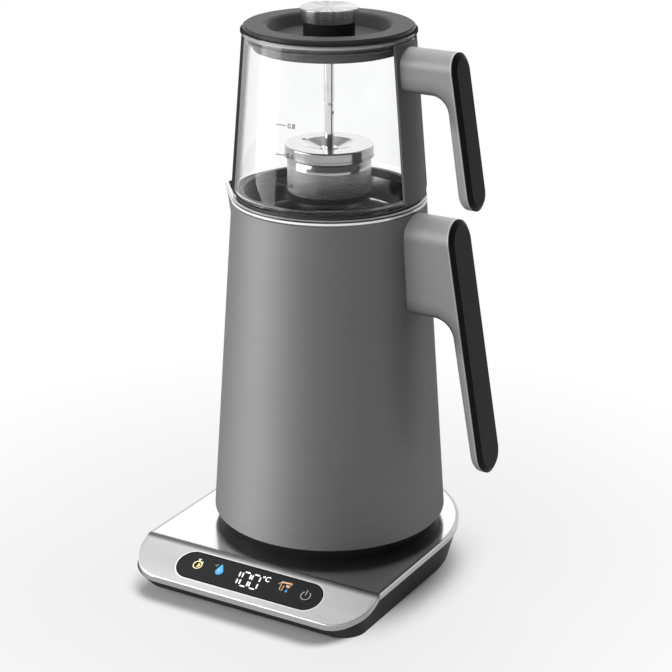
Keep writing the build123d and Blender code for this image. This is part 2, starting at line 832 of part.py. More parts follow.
# ---------------------------------------------------------------- 360 degree connector
tower_top = plateau_height + collar_height + tower_height
collar_radius = connector_radius + collar_reach
connector_bottom = plateau_height - connector_depth
with BuildPart() as base_connector:
    with BuildSketch(Plane.XZ) as profile:
        with BuildLine():
            Polyline((0, connector_bottom), (connector_radius, connector_bottom),
                     (connector_radius, plateau_height), (collar_radius, plateau_height),
                     (collar_radius, plateau_height + collar_height),
                     (tower_radius, plateau_height + collar_height), (tower_radius, tower_top),
                     (0, tower_top), close=True)
        make_face()
        fillet(profile.vertices().sort_by_distance((tower_radius, tower_top))[0], tower_edge_radius)
        fillet(profile.vertices().sort_by_distance((collar_radius, plateau_height + collar_height))[0],
               collar_height / 2)
    revolve(axis=Axis.Z)
    with BuildSketch(Plane.XY.offset(tower_top)):
        Circle(groove_outer_radius)
        Circle(groove_outer_radius - groove_width, mode=Mode.SUBTRACT)
        Circle(pin_hole_radius)
    extrude(amount=-groove_depth, mode=Mode.SUBTRACT)
base_connector.part.label = "base_connector"
export_step(base_connector.part, "parts/base_connector.step")

with BuildPart() as connector_contacts:
    with BuildSketch(Plane.XY.offset(tower_top - groove_depth)):
        for outer in (groove_outer_radius - FIT, pin_hole_radius - FIT):
            Circle(outer)
            Circle(outer - contact_wall, mode=Mode.SUBTRACT)
    extrude(amount=groove_depth - contact_drop)
connector_contacts.part.label = "connector_contacts"
export_step(connector_contacts.part, "parts/connector_contacts.step")

socket_bottom = plateau_height + socket_gap
web_top = ring_web_level + ring_web
cavity_top = tower_top + tower_headroom
socket_top = cavity_top + socket_roof
socket_stem_radius = tower_radius + socket_clearance + socket_wall
blade_outer = groove_outer_radius - FIT - contact_wall - blade_gap
pin_radius = pin_hole_radius - FIT - contact_wall - blade_gap
with BuildPart() as kettle_socket:
    with BuildSketch(Plane.XY.offset(socket_bottom)):
        Circle(socket_stem_radius)
    extrude(amount=socket_top - socket_bottom)
    with BuildSketch(Plane.XY.offset(web_top)):
        Circle(socket_stem_radius + socket_flange_reach)
    extrude(amount=ring_web)
    with BuildSketch(Plane.XY.offset(socket_bottom)):
        Circle(tower_radius + socket_clearance)
    extrude(amount=cavity_top - socket_bottom, mode=Mode.SUBTRACT)
kettle_socket.part.label = "kettle_socket"
export_step(kettle_socket.part, "parts/kettle_socket.step")

with BuildPart() as socket_contacts:
    with BuildSketch(Plane.XY.offset(cavity_top)):
        Circle(blade_outer)
        Circle(blade_outer - blade_wall, mode=Mode.SUBTRACT)
        Circle(pin_radius)
    extrude(amount=contact_drop + tower_headroom - groove_depth)
socket_contacts.part.label = "socket_contacts"
export_step(socket_contacts.part, "parts/socket_contacts.step")

# ---------------------------------------------------------------- kettle
with BuildPart() as kettle_shell:
    add(kettle_solid(0))
    fillet(kettle_shell.edges().group_by(Axis.Z)[0], shell_edge_radius)
    add(above(kettle_solid(shell_wall), shell_bottom + shell_wall), mode=Mode.SUBTRACT)
    with Locations((0, 0, shell_bottom + shell_wall)):
        Hole(shell_flange_radius, depth=2 * shell_wall)
    add(rim_slab(shell_bottom - rim_level - OVERRUN, 0), mode=Mode.INTERSECT)
kettle_shell.part.label = "kettle_shell"
export_step(kettle_shell.part, "parts/kettle_shell.step")

with BuildPart() as water_room:
    add(above(liner_solid(liner_wall), liner_bottom + liner_wall))
    fillet(water_room.edges().group_by(Axis.Z)[0], liner_corner - liner_wall)

with BuildPart() as kettle_liner:
    add(liner_solid(0))
    fillet(kettle_liner.edges().group_by(Axis.Z)[0], liner_corner)
    add(water_room.part, mode=Mode.SUBTRACT)
    add(rim_slab(liner_bottom - rim_level - OVERRUN, -liner_wall), mode=Mode.INTERSECT)
    with Locations((*probe_place, liner_bottom + liner_wall)):
        Hole(probe_radius + FIT, depth=2 * liner_wall)
kettle_liner.part.label = "kettle_liner"
export_step(kettle_liner.part, "parts/kettle_liner.step")

with BuildPart() as kettle_rim:
    add(rim_band(0, rim_wall, 0, rim_height))
    top_faces = kettle_rim.faces().filter_by(lambda face: face.normal_at().Z > 0.9)
    fillet(top_faces.edges(), rim_edge_radius)
    add(kettle_solid(shell_wall + FIT) & rim_slab(-rim_skirt, 0))
    add(liner_solid(-FIT) & rim_slab(-2 * rim_skirt, 0), mode=Mode.SUBTRACT)
    with BuildSketch(Plane.XY.offset(ledge_level)):
        Circle(body_top_radius - rim_wall / 2)
        Circle(ledge_radius, mode=Mode.SUBTRACT)
        add(lip_outline(0, ledge_radius, spout_reach - rim_wall, spout_tip_radius - rim_wall),
            mode=Mode.SUBTRACT)
    extrude(amount=-ledge_thickness)
kettle_rim.part.label = "kettle_rim"
export_step(kettle_rim.part, "parts/kettle_rim.step")

stud_places = PolarLocations(stud_circle_radius, 3, start_angle=stud_start_angle)
with BuildPart() as kettle_base_ring:
    with BuildSketch(Plane.XZ) as profile:
        with BuildLine():
            Polyline((socket_stem_radius + FIT, ring_web_level),
                     (ring_foot_radius - ring_wall, ring_web_level),
                     (ring_foot_radius - ring_wall, plateau_height),
                     (ring_foot_radius, plateau_height),
                     (ring_top_radius, shell_bottom),
                     (shell_flange_radius - FIT, shell_bottom),
                     (shell_flange_radius - FIT, shell_bottom + ring_spigot),
                     (shell_flange_radius - FIT - ring_wall, shell_bottom + ring_spigot),
                     (shell_flange_radius - FIT - ring_wall, web_top),
                     (socket_stem_radius + FIT, web_top), close=True)
        make_face()
    revolve(axis=Axis.Z)
    with BuildSketch(Plane.XY.offset(ring_web_level)):
        with stud_places:
            Circle(screw_radius + screw_play)
    extrude(amount=ring_web, mode=Mode.SUBTRACT)
kettle_base_ring.part.label = "kettle_base_ring"
export_step(kettle_base_ring.part, "parts/kettle_base_ring.step")

plate_bottom = liner_bottom - plate_thickness
terminal_places = [(element_radius * cos(radians(angle)), element_radius * sin(radians(angle)))
                   for angle in (terminal_inset, 360 - element_gap_angle - terminal_inset)]
with BuildPart() as heating_plate:
    with BuildSketch(Plane.XY.offset(plate_bottom)):
        Circle(plate_radius)
        with Locations(probe_place):
            Circle(probe_radius + FIT, mode=Mode.SUBTRACT)
    extrude(amount=plate_thickness)
heating_plate.part.label = "heating_plate"
export_step(heating_plate.part, "parts/heating_plate.step")

with BuildPart() as heating_element:
    with BuildSketch(Plane.XZ) as section:
        with Locations((element_radius, plate_bottom)):
            Rectangle(element_width, element_height, align=(Align.CENTER, Align.MAX))
        fillet(section.vertices().group_by(Axis.Y)[0], element_height / 2)
    revolve(axis=Axis.Z, revolution_arc=360 - element_gap_angle)
    with BuildSketch(Plane.XY.offset(plate_bottom - element_height / 2)):
        with Locations(terminal_places):
            Circle(terminal_radius)
    extrude(amount=-element_height / 2 - terminal_length)
heating_element.part.label = "heating_element"
export_step(heating_element.part, "parts/heating_element.step")

with BuildPart() as plate_studs:
    with BuildSketch(Plane.XY.offset(web_top)):
        with stud_places:
            Circle(stud_radius)
            Circle(screw_radius + FIT, mode=Mode.SUBTRACT)
    extrude(amount=plate_bottom - web_top)
plate_studs.part.label = "plate_studs"
export_step(plate_studs.part, "parts/plate_studs.step")

with BuildPart() as kettle_base_screws:
    with BuildSketch(Plane.XY.offset(ring_web_level - screw_head_height)):
        with stud_places:
            Circle(screw_head_radius)
    extrude(amount=screw_head_height)
    with BuildSketch(Plane.XY.offset(ring_web_level)):
        with stud_places:
            Circle(screw_radius)
    extrude(amount=plate_bottom - ring_web_level - stud_screw_end)
kettle_base_screws.part.label = "kettle_base_screws"
export_step(kettle_base_screws.part, "parts/kettle_base_screws.step")

with BuildPart() as thermostat:
    with BuildSketch(Plane.XY.offset(socket_top)):
        RectangleRounded(*thermostat_size, thermostat_corner)
    extrude(amount=plate_bottom - disc_thickness - socket_top)
thermostat.part.label = "thermostat"
export_step(thermostat.part, "parts/thermostat.step")

with BuildPart() as bimetal_discs:
    with BuildSketch(Plane.XY.offset(plate_bottom - disc_thickness)):
        with Locations(disc_places):
            Circle(disc_radius)
    extrude(amount=disc_thickness)
bimetal_discs.part.label = "bimetal_discs"
export_step(bimetal_discs.part, "parts/bimetal_discs.step")

with BuildPart() as temperature_probe:
    with BuildSketch(Plane.XY.offset(plate_bottom - 2 * disc_thickness)):
        with Locations(probe_place):
            Circle(probe_radius + probe_collar)
    extrude(amount=2 * disc_thickness)
    with BuildSketch(Plane.XY.offset(plate_bottom)):
        with Locations(probe_place):
            Circle(probe_radius)
    extrude(amount=liner_bottom + probe_height - plate_bottom)
    fillet(temperature_probe.edges().group_by(Axis.Z)[-1], probe_radius / 2)
temperature_probe.part.label = "temperature_probe"
export_step(temperature_probe.part, "parts/temperature_probe.step")

# ---------------------------------------------------------------- kettle handle
arm_middle = (kettle_grip.arm_bottom + kettle_grip.top) / 2
kettle_screw_levels = (arm_middle - kettle_screw_spacing / 2, arm_middle + kettle_screw_spacing / 2)
boss_end = body_radius(kettle_grip.arm_bottom) + handle_boss_length
with BuildPart() as kettle_handle:
    add(kettle_grip.blank(0))
    inner_edges = [edge for edge in kettle_handle.edges()
                   if abs(abs(edge.position_at(0.5).Y) - kettle_grip.half_width) < 0.1
                   and edge.position_at(0.5).X < kettle_grip.leg(edge.position_at(0.5).Z) + 1
                   and edge.position_at(0.5).Z < kettle_grip.arm_bottom + 1]
    fillet(inner_edges, grip_edge_radius)
    add(hollow(kettle_grip, body_bottom_radius, shell_bottom, body_top_radius, rim_level),
        mode=Mode.SUBTRACT)
    with BuildSketch(Plane.YZ.offset(body_radius(kettle_grip.top) - OVERRUN)):
        with Locations([(0, level) for level in kettle_screw_levels]):
            Circle(handle_boss_radius)
    extrude(amount=boss_end - body_radius(kettle_grip.top) + OVERRUN)
    add(cone(shell_bottom, rim_level + OVERRUN, body_bottom_radius + FIT,
             body_radius(rim_level + OVERRUN) + FIT), mode=Mode.SUBTRACT)
    with BuildSketch(Plane.YZ):
        with Locations([(0, level) for level in kettle_screw_levels]):
            Circle(handle_screw_radius + screw_play)
    extrude(amount=boss_end + OVERRUN, mode=Mode.SUBTRACT)
kettle_handle.part.label = "kettle_handle"
export_step(kettle_handle.part, "parts/kettle_handle.step")

with BuildPart() as kettle_handle_screws:
    with BuildSketch(Plane.YZ.offset(boss_end)):
        with Locations([(0, level) for level in kettle_screw_levels]):
            Circle(handle_screw_head)
    extrude(amount=screw_head_height)
    with BuildSketch(Plane.YZ.offset(boss_end)):
        with Locations([(0, level) for level in kettle_screw_levels]):
            Circle(handle_screw_radius)
    extrude(amount=kettle_screw_bite - handle_boss_length)
kettle_handle_screws.part.label = "kettle_handle_screws"
export_step(kettle_handle_screws.part, "parts/kettle_handle_screws.step")


def grip_pad(handle):
    """Black pad of a handle: bevelled face, and a plug that drops into the hollow grip."""
    with BuildPart() as pad:
        add(handle.pad(0, pad_thickness, 0))
        face = pad.faces().filter_by(GeomType.PLANE).sort_by(Axis.X)[-1]
        chamfer(face.edges(), length=pad_bevel, length2=pad_bevel_width)
        add(handle.pad(-pad_plug, 0, handle_wall + FIT))
    return pad.part


with BuildPart() as kettle_handle_pad:
    add(grip_pad(kettle_grip))
kettle_handle_pad.part.label = "kettle_handle_pad"
export_step(kettle_handle_pad.part, "parts/kettle_handle_pad.step")

# ---------------------------------------------------------------- teapot
with BuildPart() as glass_jug:
    with BuildSketch(Plane.XZ) as outside:
        with BuildLine():
            Polyline((0, glass_bottom), (glass_bottom_radius, glass_bottom),
                     (glass_radius(glass_top - glass_bead_height), glass_top - glass_bead_height),
                     (glass_top_radius + glass_bead, glass_top - glass_bead_height / 2),
                     (glass_top_radius + glass_bead, glass_top), (0, glass_top), close=True)
        make_face()
        fillet(outside.vertices().sort_by_distance((glass_bottom_radius, glass_bottom))[0],
               glass_corner)
    revolve(axis=Axis.Z)
    add(lip_block(lip_start, glass_top, glass_radius(lip_start), glass_top_radius, lip_reach,
                  lip_tip_radius, lip_root_tip_radius))
    with BuildSketch(Plane.XY.offset(glass_top)):
        Circle(2 * lip_reach)
    extrude(amount=2 * OVERRUN, mode=Mode.SUBTRACT)
    with BuildSketch(Plane.XZ) as inside:
        with BuildLine():
            Polyline((0, glass_bottom + glass_wall),
                     (glass_bottom_radius - glass_wall, glass_bottom + glass_wall),
                     (glass_top_radius - glass_wall, glass_top), (0, glass_top),
                     close=True)
        make_face()
        fillet(inside.vertices().group_by(Axis.Y)[0].sort_by(Axis.X)[-1], glass_corner - glass_wall)
    revolve(axis=Axis.Z, mode=Mode.SUBTRACT)
    add(lip_block(lip_start, glass_top, glass_radius(lip_start) - glass_wall,
                  glass_top_radius - glass_wall, lip_reach - glass_wall,
                  lip_tip_radius - glass_wall, lip_root_tip_radius), mode=Mode.SUBTRACT)
    with Locations((0, 0, glass_bottom + glass_wall)):
        Hole(glass_opening_radius, depth=2 * glass_wall)
glass_jug.part.label = "glass_jug"
export_step(glass_jug.part, "parts/glass_jug.step")

with BuildPart() as teapot_base:
    with BuildSketch(Plane.XZ) as outside:
        with BuildLine():
            Polyline((0, cup_floor), (cup_floor_radius, cup_floor), (cup_top_radius, ledge_level),
                     (cup_flange_radius, ledge_level), (cup_flange_radius, ledge_level + cup_flange),
                     (0, ledge_level + cup_flange), close=True)
        make_face()
        fillet(outside.vertices().sort_by_distance((cup_floor_radius, cup_floor))[0], cup_corner)
    revolve(axis=Axis.Z)
    with BuildSketch(Plane.XZ) as inside:
        with BuildLine():
            Polyline((0, cup_floor + cup_wall), (cup_floor_radius - cup_wall, cup_floor + cup_wall),
                     (cup_top_radius - cup_wall, ledge_level),
                     (cup_top_radius - cup_wall, ledge_level + 2 * cup_flange),
                     (0, ledge_level + 2 * cup_flange), close=True)
        make_face()
        fillet(inside.vertices().group_by(Axis.Y)[0].sort_by(Axis.X)[-1], cup_corner - cup_wall)
    revolve(axis=Axis.Z, mode=Mode.SUBTRACT)
teapot_base.part.label = "teapot_base"
export_step(teapot_base.part, "parts/teapot_base.step")

with BuildPart() as teapot_seal:
    with BuildSketch(Plane.XY.offset(seal_bottom)):
        Circle(cup_flange_radius - seal_inset)
        Circle(cup_top_radius - cup_wall, mode=Mode.SUBTRACT)
    extrude(amount=glass_bottom - seal_bottom)
    with BuildSketch(Plane.XY.offset(glass_bottom)):
        Circle(glass_opening_radius - FIT)
        Circle(cup_top_radius - cup_wall, mode=Mode.SUBTRACT)
    extrude(amount=glass_wall)
teapot_seal.part.label = "teapot_seal"
export_step(teapot_seal.part, "parts/teapot_seal.step")


def strap_plate(inner, outer, margin):
    """Curved plate on the glass, between two distances from it, in from the strap's edge by margin."""
    low = strap_bottom + margin
    high = strap_top - margin
    half_width = glass_bottom_radius * sin(radians(strap_half_angle)) - margin
    with BuildPart() as plate:
        add(cone(low, high, glass_radius(low) + outer, glass_radius(high) + outer))
        add(cone(low, high, glass_radius(low) + inner, glass_radius(high) + inner),
            mode=Mode.SUBTRACT)
        with Locations((0, 0, low)):
            Box(2 * glass_bottom_radius, 2 * half_width, high - low, mode=Mode.INTERSECT,
                align=(Align.MIN, Align.CENTER, Align.MIN))
    return plate.part


with BuildPart() as strap_bond:
    add(strap_plate(bond_gap, bond_thickness - bond_gap, bond_margin))
strap_bond.part.label = "strap_bond"
export_step(strap_bond.part, "parts/strap_bond.step")

strap_outside = bond_thickness + strap_thickness
with BuildPart() as handle_strap:
    add(strap_plate(bond_thickness, strap_outside, 0))
    fillet(handle_strap.edges().filter_by(Axis.X, tolerance=20), strap_corner)
handle_strap.part.label = "handle_strap"
export_step(handle_strap.part, "parts/handle_strap.step")

teapot_screw_level = (teapot_grip.arm_bottom + teapot_grip.top) / 2
teapot_boss_end = glass_radius(teapot_screw_level) + strap_outside + handle_boss_length
with BuildPart() as teapot_handle:
    add(teapot_grip.blank(0))
    inner_edges = [edge for edge in teapot_handle.edges()
                   if abs(abs(edge.position_at(0.5).Y) - teapot_grip.half_width) < 0.1
                   and edge.position_at(0.5).X < teapot_grip.leg(edge.position_at(0.5).Z) + 1
                   and edge.position_at(0.5).Z < teapot_grip.arm_bottom + 1]
    fillet(inner_edges, grip_edge_radius)
    add(hollow(teapot_grip, glass_bottom_radius + strap_outside, glass_bottom,
               glass_top_radius + strap_outside, glass_top), mode=Mode.SUBTRACT)
    with BuildSketch(Plane.YZ.offset(glass_top_radius)):
        with Locations((0, teapot_screw_level)):
            Circle(handle_boss_radius)
    extrude(amount=teapot_boss_end - glass_top_radius)
    add(cone(glass_bottom, glass_top, glass_bottom_radius + strap_outside + FIT,
             glass_top_radius + strap_outside + FIT), mode=Mode.SUBTRACT)
    with BuildSketch(Plane.YZ):
        with Locations((0, teapot_screw_level)):
            Circle(handle_screw_radius + screw_play)
    extrude(amount=teapot_boss_end + OVERRUN, mode=Mode.SUBTRACT)
teapot_handle.part.label = "teapot_handle"
export_step(teapot_handle.part, "parts/teapot_handle.step")

with BuildPart() as teapot_handle_screw:
    with BuildSketch(Plane.YZ.offset(teapot_boss_end)):
        with Locations((0, teapot_screw_level)):
            Circle(handle_screw_head)
    extrude(amount=screw_head_height)
    with BuildSketch(Plane.YZ.offset(teapot_boss_end)):
        with Locations((0, teapot_screw_level)):
            Circle(handle_screw_radius)
    extrude(amount=teapot_screw_bite - handle_boss_length)
teapot_handle_screw.part.label = "teapot_handle_screw"
export_step(teapot_handle_screw.part, "parts/teapot_handle_screw.step")

with BuildPart() as teapot_handle_pad:
    add(grip_pad(teapot_grip))
teapot_handle_pad.part.label = "teapot_handle_pad"
export_step(teapot_handle_pad.part, "parts/teapot_handle_pad.step")

# ---------------------------------------------------------------- lid
ring_top = lid_top - lid_plate_edge
ring_bore = lid_radius - edge_ring_width
plate_edge = lid_radius - lid_plate_inset
with BuildPart() as lid_cover:
    with BuildSketch(Plane.XZ) as profile:
        with BuildLine():
            Polyline((bush_radius + FIT, recess_floor), (recess_floor_radius, recess_floor),
                     (recess_radius, lid_top), (plate_edge, lid_top), (plate_edge, ring_top),
                     (ring_bore, ring_top), (ring_bore, glass_top),
                     (recess_radius + lid_wall, glass_top),
                     (recess_floor_radius + lid_wall, recess_floor - lid_wall),
                     (bush_radius + FIT, recess_floor - lid_wall), close=True)
        make_face()
        fillet(profile.vertices().sort_by_distance((recess_radius, lid_top))[0], recess_shoulder)
        fillet(profile.vertices().sort_by_distance((recess_floor_radius, recess_floor))[0],
               recess_corner)
        fillet(profile.vertices().sort_by_distance((plate_edge, lid_top))[0], lid_edge_radius)
    revolve(axis=Axis.Z)
lid_cover.part.label = "lid_cover"
export_step(lid_cover.part, "parts/lid_cover.step")

with BuildPart() as lid_edge_ring:
    with BuildSketch(Plane.XZ) as profile:
        with Locations((ring_bore, glass_top)):
            Rectangle(edge_ring_width, ring_top - glass_top, align=(Align.MIN, Align.MIN))
        fillet(profile.vertices().sort_by(Axis.X)[2:], edge_ring_radius)
        with Locations((lid_radius, (ring_top + glass_top) / 2)):
            Rectangle(2 * edge_ring_groove, edge_ring_groove, mode=Mode.SUBTRACT)
    revolve(axis=Axis.Z)
lid_edge_ring.part.label = "lid_edge_ring"
export_step(lid_edge_ring.part, "parts/lid_edge_ring.step")

pour_plane = pour_flat - skirt_radius
with BuildPart() as lid_skirt:
    with BuildSketch(Plane.XY.offset(skirt_bottom)):
        Circle(skirt_radius)
    extrude(amount=skirt_depth)
    fillet(lid_skirt.edges().group_by(Axis.Z)[0], skirt_corner)
    with Locations((pour_plane, 0, skirt_bottom)):
        Box(skirt_radius, 2 * skirt_radius, pour_flat_height, mode=Mode.SUBTRACT,
            align=(Align.MAX, Align.CENTER, Align.MIN))
    with BuildSketch(Plane.XY.offset(skirt_bottom + skirt_wall)):
        Circle(skirt_radius - skirt_wall)
        with Locations((pour_plane + skirt_wall, 0)):
            Rectangle(skirt_radius, 2 * skirt_radius, mode=Mode.SUBTRACT,
                      align=(Align.MAX, Align.CENTER))
    extrude(amount=skirt_depth - skirt_wall, mode=Mode.SUBTRACT)
    with Locations((0, 0, glass_top)):
        Hole(bush_radius + FIT, depth=skirt_depth)
lid_skirt.part.label = "lid_skirt"
export_step(lid_skirt.part, "parts/lid_skirt.step")

gasket_radius = glass_radius(gasket_top) - glass_wall - gasket_clearance
gasket_reach = gasket_radius - skirt_radius - FIT
pour_width = 2 * sqrt(skirt_radius**2 - pour_plane**2)
with BuildPart() as lid_gasket:
    with BuildSketch(Plane.XZ) as profile:
        with Locations((skirt_radius + FIT, gasket_top)):
            Rectangle(gasket_band, gasket_height, align=(Align.MIN, Align.MAX))
            Rectangle(gasket_reach, gasket_fin, align=(Align.MIN, Align.MAX))
        with Locations((skirt_radius + FIT, gasket_top - gasket_height)):
            Rectangle(gasket_reach, gasket_fin, align=(Align.MIN, Align.MIN))
    revolve(axis=Axis.Z)
    with BuildSketch(Plane.XY.offset(gasket_top)):
        with Locations((pour_plane, 0)):
            Rectangle(lid_radius, pour_width, align=(Align.MAX, Align.CENTER))
        Circle(skirt_radius + FIT + gasket_band, mode=Mode.SUBTRACT)
    extrude(amount=-gasket_height, mode=Mode.SUBTRACT)
lid_gasket.part.label = "lid_gasket"
export_step(lid_gasket.part, "parts/lid_gasket.step")

with BuildPart() as rod_bush:
    with BuildSketch(Plane.XZ) as profile:
        with BuildLine():
            Polyline((rod_radius + FIT, bush_bottom), (bush_radius + bush_flange_reach, bush_bottom),
                     (bush_radius + bush_flange_reach, skirt_bottom), (bush_radius, skirt_bottom),
                     (bush_radius, recess_floor), (rod_radius + FIT, recess_floor), close=True)
        make_face()
    revolve(axis=Axis.Z)
rod_bush.part.label = "rod_bush"
export_step(rod_bush.part, "parts/rod_bush.step")

# ---------------------------------------------------------------- knob and rod
knob_foot_radius = knob_radius - knob_taper
with BuildPart() as knob_cap:
    with BuildSketch(Plane.XZ) as profile:
        with BuildLine():
            Polyline((0, knob_top), (knob_radius, knob_top), (knob_foot_radius, knob_bottom),
                     (knob_foot_radius - knob_wall, knob_bottom),
                     (knob_radius - knob_wall, knob_top - knob_wall), (0, knob_top - knob_wall),
                     close=True)
        make_face()
        fillet(profile.vertices().sort_by_distance((knob_radius, knob_top))[0], knob_edge_radius)
    revolve(axis=Axis.Z)
knob_cap.part.label = "knob_cap"
export_step(knob_cap.part, "parts/knob_cap.step")

with BuildPart() as knob_neck:
    with BuildSketch(Plane.XY.offset(recess_floor)):
        Circle(knob_radius - neck_inset - FIT)
    extrude(amount=knob_top - knob_wall - recess_floor)
    with Locations((0, 0, knob_top - knob_wall)):
        Hole(screw_head_radius + knob_screw_play, depth=knob_screw_well)
        Hole(screw_radius + 2 * FIT, depth=knob_height + recess_depth + knob_rise)
    with Locations((0, 0, rod_end)):
        Hole(rod_radius + FIT, depth=rod_end - recess_floor)
knob_neck.part.label = "knob_neck"
export_step(knob_neck.part, "parts/knob_neck.step")

with BuildPart() as knob_screw:
    with BuildSketch(Plane.XY.offset(rod_top)):
        Circle(screw_head_radius)
    extrude(amount=screw_head_height)
    with BuildSketch(Plane.XY.offset(rod_top)):
        Circle(screw_radius)
    extrude(amount=-knob_screw_length)
knob_screw.part.label = "knob_screw"
export_step(knob_screw.part, "parts/knob_screw.step")

with BuildPart() as upper_rod:
    with BuildSketch(Plane.XY.offset(rod_joint + rod_joint_gap)):
        Circle(rod_radius)
    extrude(amount=rod_end - rod_joint - rod_joint_gap)
    chamfer(upper_rod.edges().group_by(Axis.Z)[0], rod_joint_chamfer)
    with BuildSketch(Plane.XY.offset(rod_joint)):
        Circle(rod_bore_radius)
    extrude(amount=2 * spigot_length, mode=Mode.SUBTRACT)
    with Locations((0, 0, rod_end)):
        Hole(screw_radius + FIT, depth=rod_tap_depth)
upper_rod.part.label = "upper_rod"
export_step(upper_rod.part, "parts/upper_rod.step")

stem_hole_height = rod_joint - stem_hole_drop
ferrule_radius = stem_radius + ferrule_reach
with BuildPart() as lower_stem:
    with BuildSketch(Plane.XY.offset(dish_level)):
        Circle(stem_radius)
    extrude(amount=rod_joint - dish_level)
    chamfer(lower_stem.edges().group_by(Axis.Z)[-1], rod_joint_chamfer)
    with BuildSketch(Plane.XY.offset(rod_joint)):
        Circle(rod_bore_radius - FIT)
    extrude(amount=spigot_length)
    with Locations((0, 0, rod_joint + spigot_length)):
        Hole(stem_bore_radius, depth=2 * spigot_length)
    with BuildSketch(Plane.YZ):
        with Locations((0, stem_hole_height)):
            Circle(stem_hole_radius)
    extrude(amount=2 * stem_radius, mode=Mode.SUBTRACT)
lower_stem.part.label = "lower_stem"
export_step(lower_stem.part, "parts/lower_stem.step")

# ---------------------------------------------------------------- strainer
cap_bottom = cap_top - cap_skirt
tab_top = cap_bottom + lug_height
lug_bottom = tab_top + lug_play
cap_inner = cap_radius - cap_wall
with BuildPart() as strainer_cap:
    with BuildSketch(Plane.XZ) as profile:
        with BuildLine():
            Polyline((0, dish_level), (ferrule_radius, dish_level), (dish_radius, cap_top),
                     (cap_radius, cap_top), (cap_radius, cap_bottom), (cap_inner, cap_bottom),
                     (cap_inner, cap_top - cap_wall), (dish_radius + cap_wall / 2, cap_top - cap_wall),
                     (ferrule_radius + cap_wall / 2, dish_level - cap_wall), (0, dish_level - cap_wall),
                     close=True)
        make_face()
        fillet(profile.vertices().sort_by_distance((cap_radius, cap_top))[0], cap_edge_radius)
        with Locations((cap_radius, cap_bottom)):
            Rectangle(cap_wall + cap_bead, cap_bead_height, align=(Align.CENTER, Align.MIN))
    revolve(axis=Axis.Z)
    with BuildSketch(Plane.XY.offset(cap_bottom)):
        Circle(cap_inner + cap_wall / 2)
        Circle(cup_radius + tab_play, mode=Mode.SUBTRACT)
        with BuildLine():
            wedge = lug_angle / 2
            Polyline((0, 0), (2 * cap_radius * cos(radians(wedge)), 2 * cap_radius * sin(radians(wedge))),
                     (2 * cap_radius * cos(radians(wedge)), -2 * cap_radius * sin(radians(wedge))),
                     close=True)
        tab_sector = make_face(mode=Mode.PRIVATE)
        add([Rot(0, 0, 360 / lug_count * step) * tab_sector for step in range(lug_count)],
            mode=Mode.INTERSECT)
    extrude(amount=lug_height)
    with Locations((-vent_distance, 0, cap_top)):
        Hole(vent_radius, depth=2 * cap_wall)
    with Locations((0, 0, cap_top)):
        Hole(stem_bore_radius, depth=cap_skirt)
strainer_cap.part.label = "strainer_cap"
export_step(strainer_cap.part, "parts/strainer_cap.step")

with BuildPart() as stem_ferrule:
    with BuildSketch(Plane.XY.offset(dish_level)):
        Circle(ferrule_radius)
        Circle(stem_radius + FIT, mode=Mode.SUBTRACT)
    extrude(amount=ferrule_height)
    fillet(stem_ferrule.edges().group_by(Axis.Z)[-1].sort_by(SortBy.RADIUS)[-1], ferrule_height / 2)
stem_ferrule.part.label = "stem_ferrule"
export_step(stem_ferrule.part, "parts/stem_ferrule.step")

with BuildPart() as strainer_cup:
    with BuildSketch(Plane.XY.offset(cup_bottom)):
        Circle(cup_radius)
    extrude(amount=cup_height)
    fillet(strainer_cup.edges().group_by(Axis.Z)[0], cup_bottom_corner)
    offset(amount=-cup_sheet, openings=strainer_cup.faces().sort_by(Axis.Z)[-1])
    with BuildSketch(Plane.XY.offset(lug_bottom)):
        Circle(cup_radius + lug_reach)
        Circle(cup_radius - cup_sheet, mode=Mode.SUBTRACT)
        with BuildLine():
            wedge = lug_angle / 2
            Polyline((0, 0), (2 * cup_radius * cos(radians(wedge)), 2 * cup_radius * sin(radians(wedge))),
                     (2 * cup_radius * cos(radians(wedge)), -2 * cup_radius * sin(radians(wedge))),
                     close=True)
        lug_sector = make_face(mode=Mode.PRIVATE)
        add([Rot(0, 0, 360 / lug_count * step) * lug_sector for step in range(lug_count)],
            mode=Mode.INTERSECT)
    extrude(amount=lug_height)
strainer_cup.part.label = "strainer_cup"
export_step(strainer_cup.part, "parts/strainer_cup.step")
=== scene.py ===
import logging
import math
from dataclasses import dataclass
from enum import Enum
from typing import ClassVar, Mapping, Sequence

import bmesh
import bpy
from mathutils import Matrix, Vector

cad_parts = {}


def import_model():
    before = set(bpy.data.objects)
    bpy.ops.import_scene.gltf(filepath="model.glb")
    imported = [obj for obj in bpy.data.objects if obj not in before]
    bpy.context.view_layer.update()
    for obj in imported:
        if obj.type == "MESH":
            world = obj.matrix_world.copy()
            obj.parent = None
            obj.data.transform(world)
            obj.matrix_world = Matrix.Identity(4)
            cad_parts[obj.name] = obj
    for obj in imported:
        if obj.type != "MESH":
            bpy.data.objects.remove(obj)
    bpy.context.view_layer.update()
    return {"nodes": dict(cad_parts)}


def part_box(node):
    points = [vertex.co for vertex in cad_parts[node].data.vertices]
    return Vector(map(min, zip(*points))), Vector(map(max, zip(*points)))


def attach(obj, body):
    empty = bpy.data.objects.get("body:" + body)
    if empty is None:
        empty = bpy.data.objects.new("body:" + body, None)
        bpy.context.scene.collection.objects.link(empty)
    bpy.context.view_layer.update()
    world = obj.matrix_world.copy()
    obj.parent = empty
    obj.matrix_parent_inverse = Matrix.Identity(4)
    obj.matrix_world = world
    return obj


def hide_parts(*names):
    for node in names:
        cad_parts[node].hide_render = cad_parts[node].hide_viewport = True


MM = 0.001
Point2 = tuple[float, float]
Point3 = tuple[float, float, float]
Colour = tuple[float, float, float]
Loop = list[Point2]
Signal = bpy.types.NodeSocket
Feed = Signal | float | Sequence[float]

